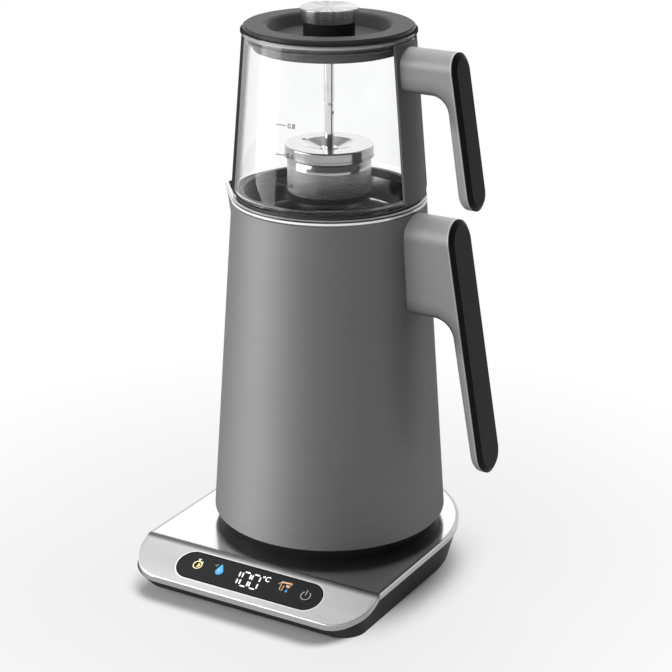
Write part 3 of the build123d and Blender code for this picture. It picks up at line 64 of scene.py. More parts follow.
WHITE: Colour = (1.0, 1.0, 1.0)
UPWARDS: Point3 = (0.0, 0.0, 1.0)
FLAT: Point3 = (1.0, 1.0, 0.0)          # keeps a vector's X and Y
QUARTER_TURN = 0.25

log = logging.getLogger("tea_maker")


def grey(tone: float) -> Colour:
    """Colour without a hue."""
    return (tone, tone, tone)


# ---------------------------------------------------------------- node and mesh helpers
class NodeSheet:
    """A material's node tree, with short ways to add and join nodes.

    A node's output is handed on as it is, so whatever takes a number, a vector or a colour takes
    one that varies over the surface too.
    """

    def __init__(self, name: str) -> None:
        """Start a new material with an empty tree and a principled shader.

        Args:
            name: the material's name.
        """
        self.material = bpy.data.materials.new(name)
        self.material.use_nodes = True
        self.tree = self.material.node_tree
        self.tree.nodes.clear()
        self.output = self.add("ShaderNodeOutputMaterial")
        self.shader = self.add("ShaderNodeBsdfPrincipled")
        self.surface(self.shader.outputs["BSDF"])

    def add(self, kind: str, feeds: Mapping[str | int, Feed] | None = None,
            **settings: object) -> bpy.types.Node:
        """Add a node.

        Args:
            kind: the node's type name.
            feeds: what goes into its inputs, by their names or numbers.
            **settings: attributes of the node to set.

        Returns:
            The new node.
        """
        node = self.tree.nodes.new(kind)
        for key, value in settings.items():
            setattr(node, key, value)
        for key, value in (feeds or {}).items():
            self.feed(node.inputs[key], value)
        return node

    def feed(self, socket: Signal, value: Feed) -> None:
        """Link an output to an input, or set the input's own value.

        Args:
            socket: the input.
            value: an output, a number, a vector or a colour.
        """
        if isinstance(value, Signal):
            self.tree.links.new(value, socket)
        elif socket.type == "RGBA":
            socket.default_value = (*value, 1.0)
        else:
            socket.default_value = value

    def set(self, **values: Feed) -> None:
        """Feed the principled shader's sockets, with underscores for the spaces in their names."""
        for key, value in values.items():
            self.feed(self.shader.inputs[key.replace("_", " ")], value)

    def surface(self, shader: Signal) -> None:
        """Make a shader the one that is seen."""
        self.feed(self.output.inputs["Surface"], shader)

    def closure(self, kind: str, **values: Feed) -> Signal:
        """A further shader, with its sockets."""
        return self.add(kind, values).outputs[0]

    def math(self, operation: str, *values: Feed) -> Signal:
        """Result of arithmetic on numbers."""
        return self.add("ShaderNodeMath", dict(enumerate(values)), operation=operation).outputs[0]

    def vector(self, operation: str, *values: Feed) -> Signal:
        """Result of arithmetic on vectors."""
        node = self.add("ShaderNodeVectorMath", dict(enumerate(values)), operation=operation)
        return node.outputs["Value" if operation in ("LENGTH", "DOT_PRODUCT") else "Vector"]

    def parts(self, source: Signal) -> tuple[Signal, ...]:
        """The three numbers of a vector."""
        return tuple(self.add("ShaderNodeSeparateXYZ", {"Vector": source}).outputs)

    def combine(self, *values: Feed) -> Signal:
        """Vector made of numbers."""
        return self.add("ShaderNodeCombineXYZ", dict(enumerate(values))).outputs[0]

    def where(self) -> Signal:
        """Object coordinates in metres."""
        return self.add("ShaderNodeTexCoord").outputs["Object"]

    def normal(self) -> Signal:
        """Direction in which the surface looks."""
        return self.add("ShaderNodeNewGeometry").outputs["Normal"]

    def place(self, scale: Point3 = (1.0, 1.0, 1.0)) -> Signal:
        """Object coordinates, scaled axis by axis."""
        return self.add("ShaderNodeMapping", {"Vector": self.where(), "Scale": scale}).outputs[0]

    def around_axis(self, per_turn: float, per_height: float, per_radius: float) -> Signal:
        """Coordinates that run round the upright axis, for turned and spun surfaces.

        Args:
            per_turn: factor on the angle in radians.
            per_height: factor on the height in metres.
            per_radius: factor on the distance from the axis in metres.

        Returns:
            The vector.
        """
        x, y, height = self.parts(self.where())
        angle = self.math("ARCTAN2", y, x)
        radius = self.vector("LENGTH", self.vector("MULTIPLY", self.where(), FLAT))
        return self.combine(self.math("MULTIPLY", angle, per_turn),
                            self.math("MULTIPLY", height, per_height),
                            self.math("MULTIPLY", radius, per_radius))

    def noise(self, source: Signal, scale: float, detail: float = 3.0,
              roughness: float = 0.5) -> Signal:
        """Noise over a vector, by its scale, detail and roughness."""
        return self.add("ShaderNodeTexNoise", {"Vector": source, "Scale": scale, "Detail": detail,
                                               "Roughness": roughness}).outputs["Fac"]

    def spread(self, source: Signal, low: float, high: float, start: float = 0.3,
               end: float = 0.7, smooth: bool = False) -> Signal:
        """Map a range of a value, by default a noise's middle range, onto another.

        Args:
            source: the value.
            low: result at the start of the range.
            high: result at its end.
            start: value at which low is reached.
            end: value at which high is reached.
            smooth: whether the result eases in and out.

        Returns:
            The result.
        """
        kind = "SMOOTHSTEP" if smooth else "LINEAR"
        return self.add("ShaderNodeMapRange", {"Value": source, "From Min": start,
                                               "From Max": end, "To Min": low, "To Max": high},
                        interpolation_type=kind).outputs[0]

    def blend(self, factor: Feed, first: Feed, second: Feed, mode: str = "MIX") -> Signal:
        """Mix two colours.

        Args:
            factor: how far the second one counts.
            first: the first colour.
            second: the second colour.
            mode: how they are mixed.

        Returns:
            The mixed colour.
        """
        return self.add("ShaderNodeMix", {0: factor, 6: first, 7: second}, data_type="RGBA",
                        blend_type=mode).outputs[2]

    def times(self, colour: Signal, share: Signal) -> Signal:
        """Share of a colour."""
        return self.blend(1.0, colour, share, "MULTIPLY")

    def bump(self, height: Signal, strength: float, depth: float) -> None:
        """Bump the shader's normal, with a strength and a depth in metres."""
        node = self.add("ShaderNodeBump", {"Strength": strength, "Distance": depth,
                                           "Height": height})
        self.set(Normal=node.outputs["Normal"])

    def brushed(self, grain: "Grain", stretch: float) -> None:
        """Stretch the highlights of the shader across its grain."""
        tangent = self.add("ShaderNodeTangent", direction_type="RADIAL", axis=grain.value)
        self.set(Anisotropic=stretch, Anisotropic_Rotation=QUARTER_TURN,
                 Tangent=tangent.outputs["Tangent"])

    def seen(self) -> Signal:
        """Tell the rays that show a surface from those that only light others.

        Returns:
            One for rays from the camera, and for those that metal and glass send on.
        """
        path = self.add("ShaderNodeLightPath").outputs
        either = self.math("MAXIMUM", path["Is Camera Ray"], path["Is Glossy Ray"])
        return self.math("MAXIMUM", either, path["Is Transmission Ray"])

    def mix(self, factor: Signal, first: Signal, second: Signal) -> Signal:
        """Mix two shaders."""
        return self.add("ShaderNodeMixShader", {0: factor, 1: first, 2: second}).outputs[0]


class SkySheet(NodeSheet):
    """The world's node tree, with the same short ways."""

    def __init__(self, name: str) -> None:
        """Start a new world with an empty tree.

        Args:
            name: the world's name.
        """
        world = bpy.data.worlds.new(name)
        bpy.context.scene.world = world
        world.use_nodes = True
        self.tree = world.node_tree
        self.tree.nodes.clear()
        self.output = self.add("ShaderNodeOutputWorld")

    def light(self, strength: float) -> Signal:
        """White light of a strength."""
        return self.closure("ShaderNodeBackground", Color=WHITE, Strength=strength)

    def towards(self, direction: Point3) -> Signal:
        """How far a ray's own direction agrees with another, from -1 to 1."""
        ray = self.add("ShaderNodeTexCoord").outputs["Generated"]
        return self.vector("DOT_PRODUCT", ray, Vector(direction).normalized())


def mesh_piece(name: str, points: Sequence[Sequence[float]], faces: Sequence[Sequence[int]],
               smooth: bool = True) -> bpy.types.Object:
    """Make a mesh object from points in millimetres.

    Args:
        name: the piece's name.
        points: corners, in millimetres.
        faces: corner numbers of each face.
        smooth: whether the faces shade smoothly.

    Returns:
        The linked object.
    """
    mesh = bpy.data.meshes.new(name)
    mesh.from_pydata([[value * MM for value in point] for point in points], [], faces)
    mesh.update()
    piece = bpy.data.objects.new(name, mesh)
    bpy.context.collection.objects.link(piece)
    for polygon in mesh.polygons:
        polygon.use_smooth = smooth
    return piece


def finish_normals(piece: bpy.types.Object, angle: float = 40.0) -> None:
    """Make normals face outwards, and keep edges sharper than an angle crisp.

    Args:
        piece: the mesh object.
        angle: the angle in degrees.
    """
    builder = bmesh.new()
    builder.from_mesh(piece.data)
    bmesh.ops.recalc_face_normals(builder, faces=builder.faces)
    for edge in builder.edges:
        edge.smooth = not (edge.is_manifold and edge.calc_face_angle(0.0) > math.radians(angle))
    builder.to_mesh(piece.data)
    builder.free()


def band(low: int, high: int, count: int) -> list[list[int]]:
    """Quads between two closed rings of corners, each told by its first corner's number."""
    return [[low + index, low + after, high + after, high + index]
            for index, after in ((index, (index + 1) % count) for index in range(count))]


@dataclass(frozen=True)
class Plate:
    """Flat working plane for printed legends: an origin, two directions and a normal, in mm."""

    origin: Vector
    across: Vector
    up: Vector

    @property
    def normal(self) -> Vector:
        """Direction out of the plate."""
        return self.across.cross(self.up).normalized()

    def at(self, u: float, v: float, height: float = 0.0) -> Vector:
        """Point at plane coordinates, at a height above the plate."""
        return self.origin + u * self.across + v * self.up + height * self.normal


def pressed(name: str, plate: Plate, loops: Sequence[Loop], thickness: float) -> bpy.types.Object:
    """Thin raised shapes on a plate, each from one closed loop.

    Args:
        name: the piece's name.
        plate: the plane they stand on.
        loops: closed outlines in plane millimetres.
        thickness: how far they stand proud.

    Returns:
        One piece with all the shapes.
    """
    points: list[Vector] = []
    faces: list[list[int]] = []
    for loop in loops:
        start, count = len(points), len(loop)
        points += [plate.at(u, v, height) for height in (0.0, thickness) for u, v in loop]
        faces.append(list(range(start + count, start + 2 * count)))
        faces.append(list(range(start + count - 1, start - 1, -1)))
        faces += band(start, start + count, count)
    piece = mesh_piece(name, points, faces, smooth=False)
    finish_normals(piece)
    return piece


def stroke(points: Sequence[Point2], width: float, closed: bool = False) -> list[Loop]:
    """Quads that draw a line of constant width.

    Args:
        points: the line's corners.
        width: its width.
        closed: whether the last corner joins the first.

    Returns:
        One loop for each run of the line.
    """
    count = len(points)
    offsets = []
    for index, (x, y) in enumerate(points):
        before = points[index - 1] if closed or index > 0 else (x, y)
        after = points[(index + 1) % count] if closed or index < count - 1 else (x, y)
        along = Vector((after[0] - before[0], after[1] - before[1])).normalized()
        offsets.append((-along.y * width / 2, along.x * width / 2))
    loops = []
    for index in range(count if closed else count - 1):
        after = (index + 1) % count
        (x0, y0), (x1, y1) = points[index], points[after]
        (a0, b0), (a1, b1) = offsets[index], offsets[after]
        loops.append([(x0 - a0, y0 - b0), (x1 - a1, y1 - b1), (x1 + a1, y1 + b1),
                      (x0 + a0, y0 + b0)])
    return loops


def arc(centre: Point2, radius: float, start: float, end: float, steps: int = 24) -> Loop:
    """Points along an arc.

    Args:
        centre: its middle.
        radius: its radius.
        start: angle of its first point in degrees.
        end: angle of its last point in degrees.
        steps: runs between its points.

    Returns:
        The points.
    """
    turns = [math.radians(start + (end - start) * step / steps) for step in range(steps + 1)]
    return [(centre[0] + radius * math.cos(turn), centre[1] + radius * math.sin(turn))
            for turn in turns]


def round_line(centre: Point2, radius: float, steps: int, width: float) -> list[Loop]:
    """Quads that draw a whole circle, by its middle, radius, steps and line width."""
    return stroke(arc(centre, radius, 0, 360, steps)[:-1], width, closed=True)


# ---------------------------------------------------------------- finishes
class Grain(Enum):
    """Which way a surface was brushed, by the axis that its grain runs round."""

    ACROSS = "Y"
    AROUND = "Z"


@dataclass(frozen=True)
class Pattern:
    """Noise laid over a surface.

    Attributes:
        scale: its cells per metre.
        detail: how many finer layers it has.
        stretch: factor on the scale for each axis.
    """

    scale: float
    detail: float = 3.0
    stretch: Point3 = (1.0, 1.0, 1.0)

    def on(self, sheet: NodeSheet) -> Signal:
        """Lay the pattern over a material."""
        return sheet.noise(sheet.place(self.stretch), self.scale, self.detail)


@dataclass(frozen=True)
class Finish:
    """A finish that a material can be made of.

    Attributes:
        name: the material's name.
        colour: its mean tone.
        roughness: its mean roughness.
        gloss: level of the reflection, 0.5 being that of a plain surface.
        metal: how metallic it is.
        CLOUD: pattern of the tones.
        SHADES: darkest and lightest tone as shares of the colour.
        BLUR: how much less and more than its mean the roughness gets.
        RELIEF: strength and depth in metres of the relief, where there is one.
    """

    name: str
    colour: Colour
    roughness: float = 0.5
    gloss: float = 0.5
    metal: float = 0.0
    CLOUD: ClassVar[Pattern] = Pattern(14.0, stretch=(1.0, 1.0, 0.6))
    SHADES: ClassVar[Point2] = (0.965, 1.035)
    BLUR: ClassVar[Point2] = (0.04, 0.05)
    RELIEF: ClassVar[Point2 | None] = None

    def fine(self, sheet: NodeSheet, cloud: Signal) -> Signal:
        """Pattern of the roughness and the relief, which is that of the tones by default."""
        return cloud

    def share(self, sheet: NodeSheet) -> Signal | None:
        """Share of the colour that is left at each place, where it isn't whole."""
        return None

    def tones(self, sheet: NodeSheet, pattern: Signal, dark: float, light: float) -> Signal:
        """Colour that varies with a pattern, less what is shaded.

        Args:
            sheet: the material's node sheet.
            pattern: the pattern.
            dark: share of the mean tone where the pattern is low.
            light: share of it where the pattern is high.

        Returns:
            The colour.
        """
        low, high = (tuple(min(1.0, value * share) for value in self.colour)
                     for share in (dark, light))
        colour = sheet.blend(sheet.spread(pattern, 0.0, 1.0), low, high)
        share = self.share(sheet)
        return sheet.times(colour, share) if share else colour

    def blur(self, sheet: NodeSheet, pattern: Signal) -> Signal:
        """Roughness that varies with a pattern."""
        less, more = self.BLUR
        return sheet.spread(pattern, self.roughness - less, self.roughness + more)

    def paint(self, sheet: NodeSheet) -> None:
        """Set up the shader of the finish.

        Args:
            sheet: the material's node sheet.
        """
        cloud = self.CLOUD.on(sheet)
        fine = self.fine(sheet, cloud)
        sheet.set(Base_Color=self.tones(sheet, cloud, *self.SHADES), Metallic=self.metal,
                  Roughness=self.blur(sheet, fine), Specular_IOR_Level=self.gloss)
        if self.RELIEF:
            sheet.bump(fine, *self.RELIEF)

    def make(self) -> bpy.types.Material:
        """Build the material.

        Returns:
            The material.
        """
        sheet = NodeSheet(self.name)
        self.paint(sheet)
        return sheet.material


@dataclass(frozen=True)
class BrushedSteel(Finish):
    """Stainless steel with a brushed grain.

    Attributes:
        grain: direction of the brushing.
        contrast: how much the grain varies the tone.
        anisotropy: how far highlights stretch across the grain.
        coarse: grain lines per millimetre.
    """

    grain: Grain = Grain.AROUND
    contrast: float = 0.06
    anisotropy: float = 0.6
    coarse: float = 3.0
    CLOUD: ClassVar[Pattern] = Pattern(18.0, 2.0)
    CLOUD_BLUR: ClassVar[float] = 0.04
    BLUR: ClassVar[Point2] = (0.03, 0.03)
    RELIEF: ClassVar[Point2] = (0.08, 0.00003)
    LINE_LENGTH: ClassVar[Mapping[Grain, float]] = {Grain.ACROSS: 12.0, Grain.AROUND: 2.0}

    def lines(self, sheet: NodeSheet) -> Signal:
        """Grain of the brushing, in long thin lines.

        Args:
            sheet: the material's node sheet.

        Returns:
            The pattern.
        """
        scale = (self.LINE_LENGTH[self.grain], self.coarse / MM, self.coarse / MM)
        across = self.grain is Grain.ACROSS
        place = sheet.place(scale) if across else sheet.around_axis(*scale)
        return sheet.noise(place, 1.0, detail=4.0, roughness=0.65)

    def soften(self, sheet: NodeSheet, rough: Signal) -> Signal:
        """Roughness, with whatever a kind of steel adds to it."""
        return rough

    def paint(self, sheet: NodeSheet) -> None:
        """Set up the shader of the finish.

        Args:
            sheet: the material's node sheet.
        """
        grain = self.lines(sheet)
        rough = sheet.math("MULTIPLY_ADD", self.CLOUD.on(sheet), self.CLOUD_BLUR,
                           self.blur(sheet, grain))
        sheet.set(Base_Color=self.tones(sheet, grain, 1.0 - self.contrast, 1.0 + self.contrast),
                  Metallic=1.0, Roughness=self.soften(sheet, rough))
        sheet.bump(grain, *self.RELIEF)
        sheet.brushed(self.grain, self.anisotropy)


@dataclass(frozen=True)
class CoverSteel(BrushedSteel):
    """Steel of the base's cover, with painted shade on its bent lip, along the outer edge of its
    flat top and in its crease, and a sloping strip.

    Attributes:
        lip_tilt: slant in degrees of the direction from which the lip is told.
        lip: agreement with it between which the lip ends.
        lip_painted_shade: tone of the painted shade on the lip, as a share of the colour.
        rim: distances in metres from the upright axis between which the painted shade line along
            the flat top's edge starts.
        rim_painted_light: tone of that painted shade line as a share of the colour.
        level: upward share of the normal between which the flat top starts.
        crease_rear: places in metres along Y between which the crease's painted shade line fades
            to the rear.
        crease_front: the same to the front.
        crease_painted_shade: tone of the painted shade in the crease as a share of the colour.
        slope: forward share of the normal between which the sloping strip ends.
        slope_blur: roughness added on the strip.
        slope_metal: how metallic the strip is.
    """

    grain: Grain = Grain.ACROSS
    contrast: float = 0.03
    coarse: float = 2.2
    lip_tilt: float = 12.0
    lip: Point2 = (0.30, 0.42)
    lip_painted_shade: float = 0.45
    rim: Point2 = (0.0858, 0.0866)
    rim_painted_light: float = 0.5
    level: Point2 = (0.90, 0.985)
    crease_rear: Point2 = (-0.0885, -0.0865)
    crease_front: Point2 = (-0.0925, -0.0900)
    crease_painted_shade: float = 0.25
    slope: Point2 = (-0.35, -0.15)
    slope_blur: float = 0.16
    slope_metal: float = 0.86

    def share(self, sheet: NodeSheet) -> Signal:
        """Painted shade, as a share of the colour, on the lip, along the flat top's edge and in
        the crease.

        Args:
            sheet: the material's node sheet.

        Returns:
            The share.
        """
        place, normal = sheet.where(), sheet.normal()
        # painted shade: faces turned away from the tilted upward direction, such as the lip, are
        # darker
        tilt = math.radians(self.lip_tilt)
        turn = sheet.vector("DOT_PRODUCT", normal, (0.0, -math.sin(tilt), math.cos(tilt)))
        lip = sheet.spread(turn, self.lip_painted_shade, 1.0, *self.lip)
        # painted shade: a dark line along the flat top's outer edge at the sides and rear
        rear = sheet.vector("MAXIMUM", place, (-1.0, 0.0, 0.0))
        out = sheet.vector("LENGTH", sheet.vector("MULTIPLY", rear, FLAT))
        edge = sheet.math("MAXIMUM", sheet.spread(out, 1.0, self.rim_painted_light, *self.rim),
                          sheet.spread(sheet.parts(normal)[2], 1.0, 0.0, *self.level))
        # painted shade: a dark band across the flat top at the crease
        along = sheet.parts(place)[1]
        crease = sheet.math("MAXIMUM",
                            sheet.spread(along, self.crease_painted_shade, 1.0, *self.crease_rear),
                            sheet.spread(along, 1.0, self.crease_painted_shade, *self.crease_front))
        return sheet.math("MINIMUM", lip, sheet.math("MINIMUM", edge, crease))

    def soften(self, sheet: NodeSheet, rough: Signal) -> Signal:
        """Make the sloping strip rougher and less metallic.

        Args:
            sheet: the material's node sheet.
            rough: the roughness of the rest.

        Returns:
            The roughness.
        """
        forward = sheet.parts(sheet.normal())[1]
        sheet.set(Metallic=sheet.spread(forward, self.slope_metal, 1.0, *self.slope))
        return sheet.math("ADD", rough, sheet.spread(forward, self.slope_blur, 0.0, *self.slope))


@dataclass(frozen=True)
class KnobSteel(BrushedSteel):
    """Spun steel of the knob, with wedges of light and shade round its axis.

    Attributes:
        fan: depth of the wedges.
        wedge_size: scale of the wedges.
        wedge_edge: noise between which a wedge turns from dark to light.
    """

    fan: float = 0.4
    wedge_size: float = 2.6
    wedge_edge: Point2 = (0.38, 0.60)

    def share(self, sheet: NodeSheet) -> Signal:
        """Share of the colour in each wedge.

        Args:
            sheet: the material's node sheet.

        Returns:
            The share.
        """
        around = sheet.vector("NORMALIZE", sheet.vector("MULTIPLY", sheet.where(), FLAT))
        wedges = sheet.noise(around, self.wedge_size, detail=2.0, roughness=0.7)
        return sheet.spread(wedges, 1.0 - self.fan, 1.0, *self.wedge_edge)


@dataclass(frozen=True)
class CapSteel(BrushedSteel):
    """Steel of the strainer's cap, with painted shade on its upright wall.

    Attributes:
        side_painted_shade: tone of the painted shade on upright walls, as a share of the colour.
        side: upward share of the normal between which a wall ends.
    """

    side_painted_shade: float = 0.6
    side: Point2 = (0.1, 0.6)

    def share(self, sheet: NodeSheet) -> Signal:
        """Share of the colour, lowered on walls by painted shade."""
        # painted shade: upright walls are darker than the top
        return sheet.spread(sheet.parts(sheet.normal())[2], self.side_painted_shade, 1.0, *self.side)


SMEAR = Pattern(60.0, stretch=(1.0, 1.0, 3.0))


@dataclass(frozen=True)
class RolledRim(Finish):
    """Steel rim with painted light in bands by height: painted shade low down, a bright painted
    highlight, a dark painted shade line over it and a paler painted highlight at the upper edge.

    Attributes:
        low: height in metres of the rim's lower edge.
        high: height in metres of its upper edge.
        bend: distance from the axis at which the rim starts to droop towards the lip.
        droop: how far it droops for each metre beyond that.
        painted_light_stops: share of the height, and the painted tone there.
    """

    colour: Colour = WHITE
    roughness: float = 0.21
    metal: float = 0.35
    low: float = 0.252
    high: float = 0.256
    bend: float = 0.050
    droop: float = 0.110
    painted_light_stops: tuple[Point2, ...] = ((0.0, 0.10), (0.22, 0.12), (0.32, 0.95), (0.56, 0.95),
                                 (0.66, 0.03), (0.84, 0.03), (0.92, 0.6))
    CLOUD: ClassVar[Pattern] = SMEAR
    BLUR: ClassVar[Point2] = (0.05, 0.05)
    REACH: ClassVar[float] = 0.1            # metres over which the droop is worked out

    def paint(self, sheet: NodeSheet) -> None:
        """Set up the shader of the finish.

        Args:
            sheet: the material's node sheet.
        """
        across, _, height = sheet.parts(sheet.where())
        drop = sheet.spread(across, 0.0, self.REACH * self.droop, -self.bend,
                            -self.bend - self.REACH)
        level = sheet.math("ADD", height, drop)
        # painted highlights and painted shade, laid in bands by height
        ramp = sheet.add("ShaderNodeValToRGB",
                         {"Fac": sheet.spread(level, 0.0, 1.0, self.low, self.high)})
        steps = ramp.color_ramp.elements
        while len(steps) < len(self.painted_light_stops):
            steps.new(0.5)
        for step, (place, tone) in zip(steps, self.painted_light_stops):
            step.position = place
            step.color = (*grey(tone), 1.0)
        sheet.set(Base_Color=ramp.outputs["Color"], Metallic=self.metal,
                  Roughness=self.blur(sheet, self.CLOUD.on(sheet)))


@dataclass(frozen=True)
class PolishedSteel(Finish):
    """Bright polished steel with faint smears."""

    colour: Colour = grey(0.68)
    roughness: float = 0.09
    metal: float = 1.0
    CLOUD: ClassVar[Pattern] = SMEAR
    SHADES: ClassVar[Point2] = (1.0, 1.05)
    BLUR: ClassVar[Point2] = (0.018, 0.036)


@dataclass(frozen=True)
class SatinPaint(Finish):
    """Baked satin paint with a very fine orange peel."""

    gloss: float = 0.4
    PEEL: ClassVar[Pattern] = Pattern(900.0)
    RELIEF: ClassVar[Point2] = (0.10, 0.00003)

    def fine(self, sheet: NodeSheet, cloud: Signal) -> Signal:
        """The orange peel."""
        return self.PEEL.on(sheet)


@dataclass(frozen=True)
class HandlePaint(SatinPaint):
    """Grey of a handle, with painted shade on its upright sides and in its hollow, and a painted
    highlight at the pad's seat.

    Attributes:
        side_painted_shade: tone of the painted shade on upright faces, as a share of the colour.
        crown: upward share of the normal between which they end.
        hollow: middle of the rounded inner corner along X and Z, in metres.
        hollow_radius: radius of that corner.
        hollow_band: width of the painted shade band along it.
        hollow_painted_shade: tone of that painted shade band, as a share of the colour.
        seat: plane of the pad's seat, as its slope along Z and its distance in metres.
        seat_line: distances before the seat between which the painted highlight starts.
        seat_painted_highlight: tone of that painted highlight, as a share of the colour.
    """

    colour: Colour = (0.348, 0.348, 0.351)
    roughness: float = 0.40
    gloss: float = 0.8
    side_painted_shade: float = 0.62
    crown: Point2 = (0.02, 0.30)
    hollow: Point2 = (0.0, 0.0)
    hollow_radius: float = 0.0
    hollow_band: float = 0.010
    hollow_painted_shade: float = 0.26
    seat: Point2 = (0.0, 1.0)
    seat_line: Point2 = (0.0014, 0.0007)
    seat_painted_highlight: float = 1.5

    def share(self, sheet: NodeSheet) -> Signal:
        """Share of the colour: painted shade on the sides and in the hollow, a painted highlight
        at the seat.

        Args:
            sheet: the material's node sheet.

        Returns:
            The share.
        """
        place = sheet.where()
        # painted shade: upright faces are darker than the crown
        side = sheet.spread(sheet.parts(sheet.normal())[2], self.side_painted_shade, 1.0, *self.crown)
        # painted shade: a dark band along the rounded inner corner
        shift = sheet.vector("SUBTRACT", place, (self.hollow[0], 0.0, self.hollow[1]))
        beyond = sheet.vector("MAXIMUM", shift, (0.0, 0.0, 0.0))
        reach = sheet.vector("LENGTH", sheet.vector("MULTIPLY", beyond, (1.0, 0.0, 1.0)))
        band = sheet.spread(reach, self.hollow_painted_shade, 1.0, self.hollow_radius,
                            self.hollow_radius + self.hollow_band)
        leg = sheet.spread(sheet.parts(shift)[2], 1.0, 0.0, -self.hollow_band,
                           self.hollow_radius)
        # painted highlight: a light line just before the pad's seat
        slope, distance = self.seat
        along = sheet.vector("DOT_PRODUCT", place, (1.0, 0.0, slope))
        edge = sheet.spread(along, 1.0, self.seat_painted_highlight,
                            *(distance - before for before in self.seat_line))
        both = sheet.math("MULTIPLY", side, sheet.math("MAXIMUM", band, leg))
        return sheet.math("MULTIPLY", both, edge)


@dataclass(frozen=True)
class SatinMetal(Finish):
    """Grey coating over brushed metal, whose highlights stretch up and down.

    Attributes:
        stretch: how far highlights stretch.
        limb: level of the reflection at a glancing angle.
    """

    gloss: float = 0.1
    metal: float = 0.82
    stretch: float = 0.7
    limb: Colour = grey(0.2)
    SHADES: ClassVar[Point2] = (0.97, 1.03)
    BLUR: ClassVar[Point2] = (0.03, 0.03)
    RELIEF: ClassVar[Point2] = (0.05, 0.00003)
    LINES: ClassVar[Point3] = (2.0, 1500.0, 1500.0)

    def fine(self, sheet: NodeSheet, cloud: Signal) -> Signal:
        """Grain round the axis."""
        return sheet.noise(sheet.around_axis(*self.LINES), 1.0)

    def paint(self, sheet: NodeSheet) -> None:
        """Set up the shader of the finish.

        Args:
            sheet: the material's node sheet.
        """
        super().paint(sheet)
        sheet.set(Specular_Tint=self.limb)
        sheet.brushed(Grain.AROUND, self.stretch)


@dataclass(frozen=True)
class MouldedPlastic(Finish):
    """Moulded plastic with a spark-eroded grain.

    Attributes:
        grain_size: grain cells per metre.
    """

    gloss: float = 0.3
    grain_size: float = 1600.0
    CLOUD: ClassVar[Pattern] = Pattern(22.0)
    SHADES: ClassVar[Point2] = (0.93, 1.07)
    BLUR: ClassVar[Point2] = (0.05, 0.06)
    RELIEF: ClassVar[Point2] = (0.25, 0.00006)

    def fine(self, sheet: NodeSheet, cloud: Signal) -> Signal:
        """The eroded grain."""
        return Pattern(self.grain_size, 2.0).on(sheet)


@dataclass(frozen=True)
class ClearGlass(Finish):
    """Clear drawn glass that lets light through to what is behind it, with painted shade where its
    wall slants and a painted highlight on its rim.

    Attributes:
        edge_painted_shade: painted dark tone of the wall where it is seen along its length.
        edge: slant of the wall at which that starts and is full.
        mirror: level of the reflection seen straight on.
        slant: slant of the wall between which a painted shade tint comes in on the light that
            comes through.
        slant_painted_shade: colour of that painted shade tint.
        shadow_tint: colour of the light that passes straight through to other pieces.
        bend: refractive index.
        rim: heights in metres between which a painted highlight lies on the rim.
        rim_fade: height over which that starts.
        rim_painted_light: colour of the painted highlight on the rim.
        rim_share: how bright it is.
    """

    colour: Colour = (0.985, 0.99, 0.99)
    roughness: float = 0.012
    edge_painted_shade: Colour = (0.03, 0.033, 0.033)
    edge: Point2 = (0.64, 0.77)
    mirror: Colour = grey(0.22)
    slant: Point2 = (0.37, 0.70)
    slant_painted_shade: Colour = (0.83, 0.835, 0.835)
    shadow_tint: Colour = (0.93, 0.94, 0.94)
    bend: float = 1.47
    rim: Point2 = (0.3609, 0.3619)
    rim_fade: float = 0.0006
    rim_painted_light: Colour = (0.86, 0.87, 0.87)
    rim_share: float = 0.33
    CLOUD: ClassVar[Pattern] = Pattern(30.0, 1.0, stretch=(1.0, 1.0, 0.25))
    RELIEF: ClassVar[Point2] = (0.05, 0.0002)

    def paint(self, sheet: NodeSheet) -> None:
        """Set up the shader of the finish.

        Args:
            sheet: the material's node sheet.
        """
        wave = self.CLOUD.on(sheet)
        sheet.bump(wave, *self.RELIEF)
        facing = sheet.add("ShaderNodeLayerWeight").outputs["Facing"]
        # painted shade: the light that comes through is tinted darker where the wall slants
        sheet.set(Base_Color=sheet.blend(sheet.spread(facing, 0.0, 1.0, *self.slant),
                                         self.colour, self.slant_painted_shade),
                  Roughness=sheet.spread(wave, 0.0, self.roughness), Transmission_Weight=1.0,
                  IOR=self.bend, Specular_Tint=self.mirror)
        # painted shade: a dark diffuse tone where the wall is seen along its length
        wall = sheet.mix(sheet.spread(facing, 0.0, 1.0, *self.edge), sheet.shader.outputs["BSDF"],
                         sheet.closure("ShaderNodeBsdfDiffuse", Color=self.edge_painted_shade))
        # painted highlight: a pale band on the glass rim
        height = sheet.parts(sheet.where())[2]
        low, high = self.rim
        below = sheet.spread(height, 0.0, self.rim_share, low - self.rim_fade, low)
        above = sheet.spread(height, self.rim_share, 0.0, high, high + self.rim_fade)
        wall = sheet.mix(sheet.math("MINIMUM", below, above), wall,
                         sheet.closure("ShaderNodeBsdfDiffuse", Color=self.rim_painted_light))
        shadow = sheet.add("ShaderNodeLightPath").outputs["Is Shadow Ray"]
        sheet.surface(sheet.mix(shadow, wall, sheet.closure("ShaderNodeBsdfTransparent",
                                                            Color=self.shadow_tint)))


@dataclass(frozen=True)
class Rubber(Finish):
    """Soft rubber, silicone or ink with a dusty surface."""

    roughness: float = 0.65
    CLOUD: ClassVar[Pattern] = Pattern(420.0, 4.0)
    SHADES: ClassVar[Point2] = (1.0, 1.18)
    BLUR: ClassVar[Point2] = (0.08, 0.08)
    RELIEF: ClassVar[Point2] = (0.2, 0.00005)


@dataclass(frozen=True)
class TouchWindow(Finish):
    """Dark smoked touch window with a satin printed back."""

    colour: Colour = (0.019, 0.019, 0.020)
    roughness: float = 0.30
    gloss: float = 0.2
    CLOUD: ClassVar[Pattern] = Pattern(55.0, 2.0)
    SHADES: ClassVar[Point2] = (1.0, 1.15)
    BLUR: ClassVar[Point2] = (0.04, 0.04)


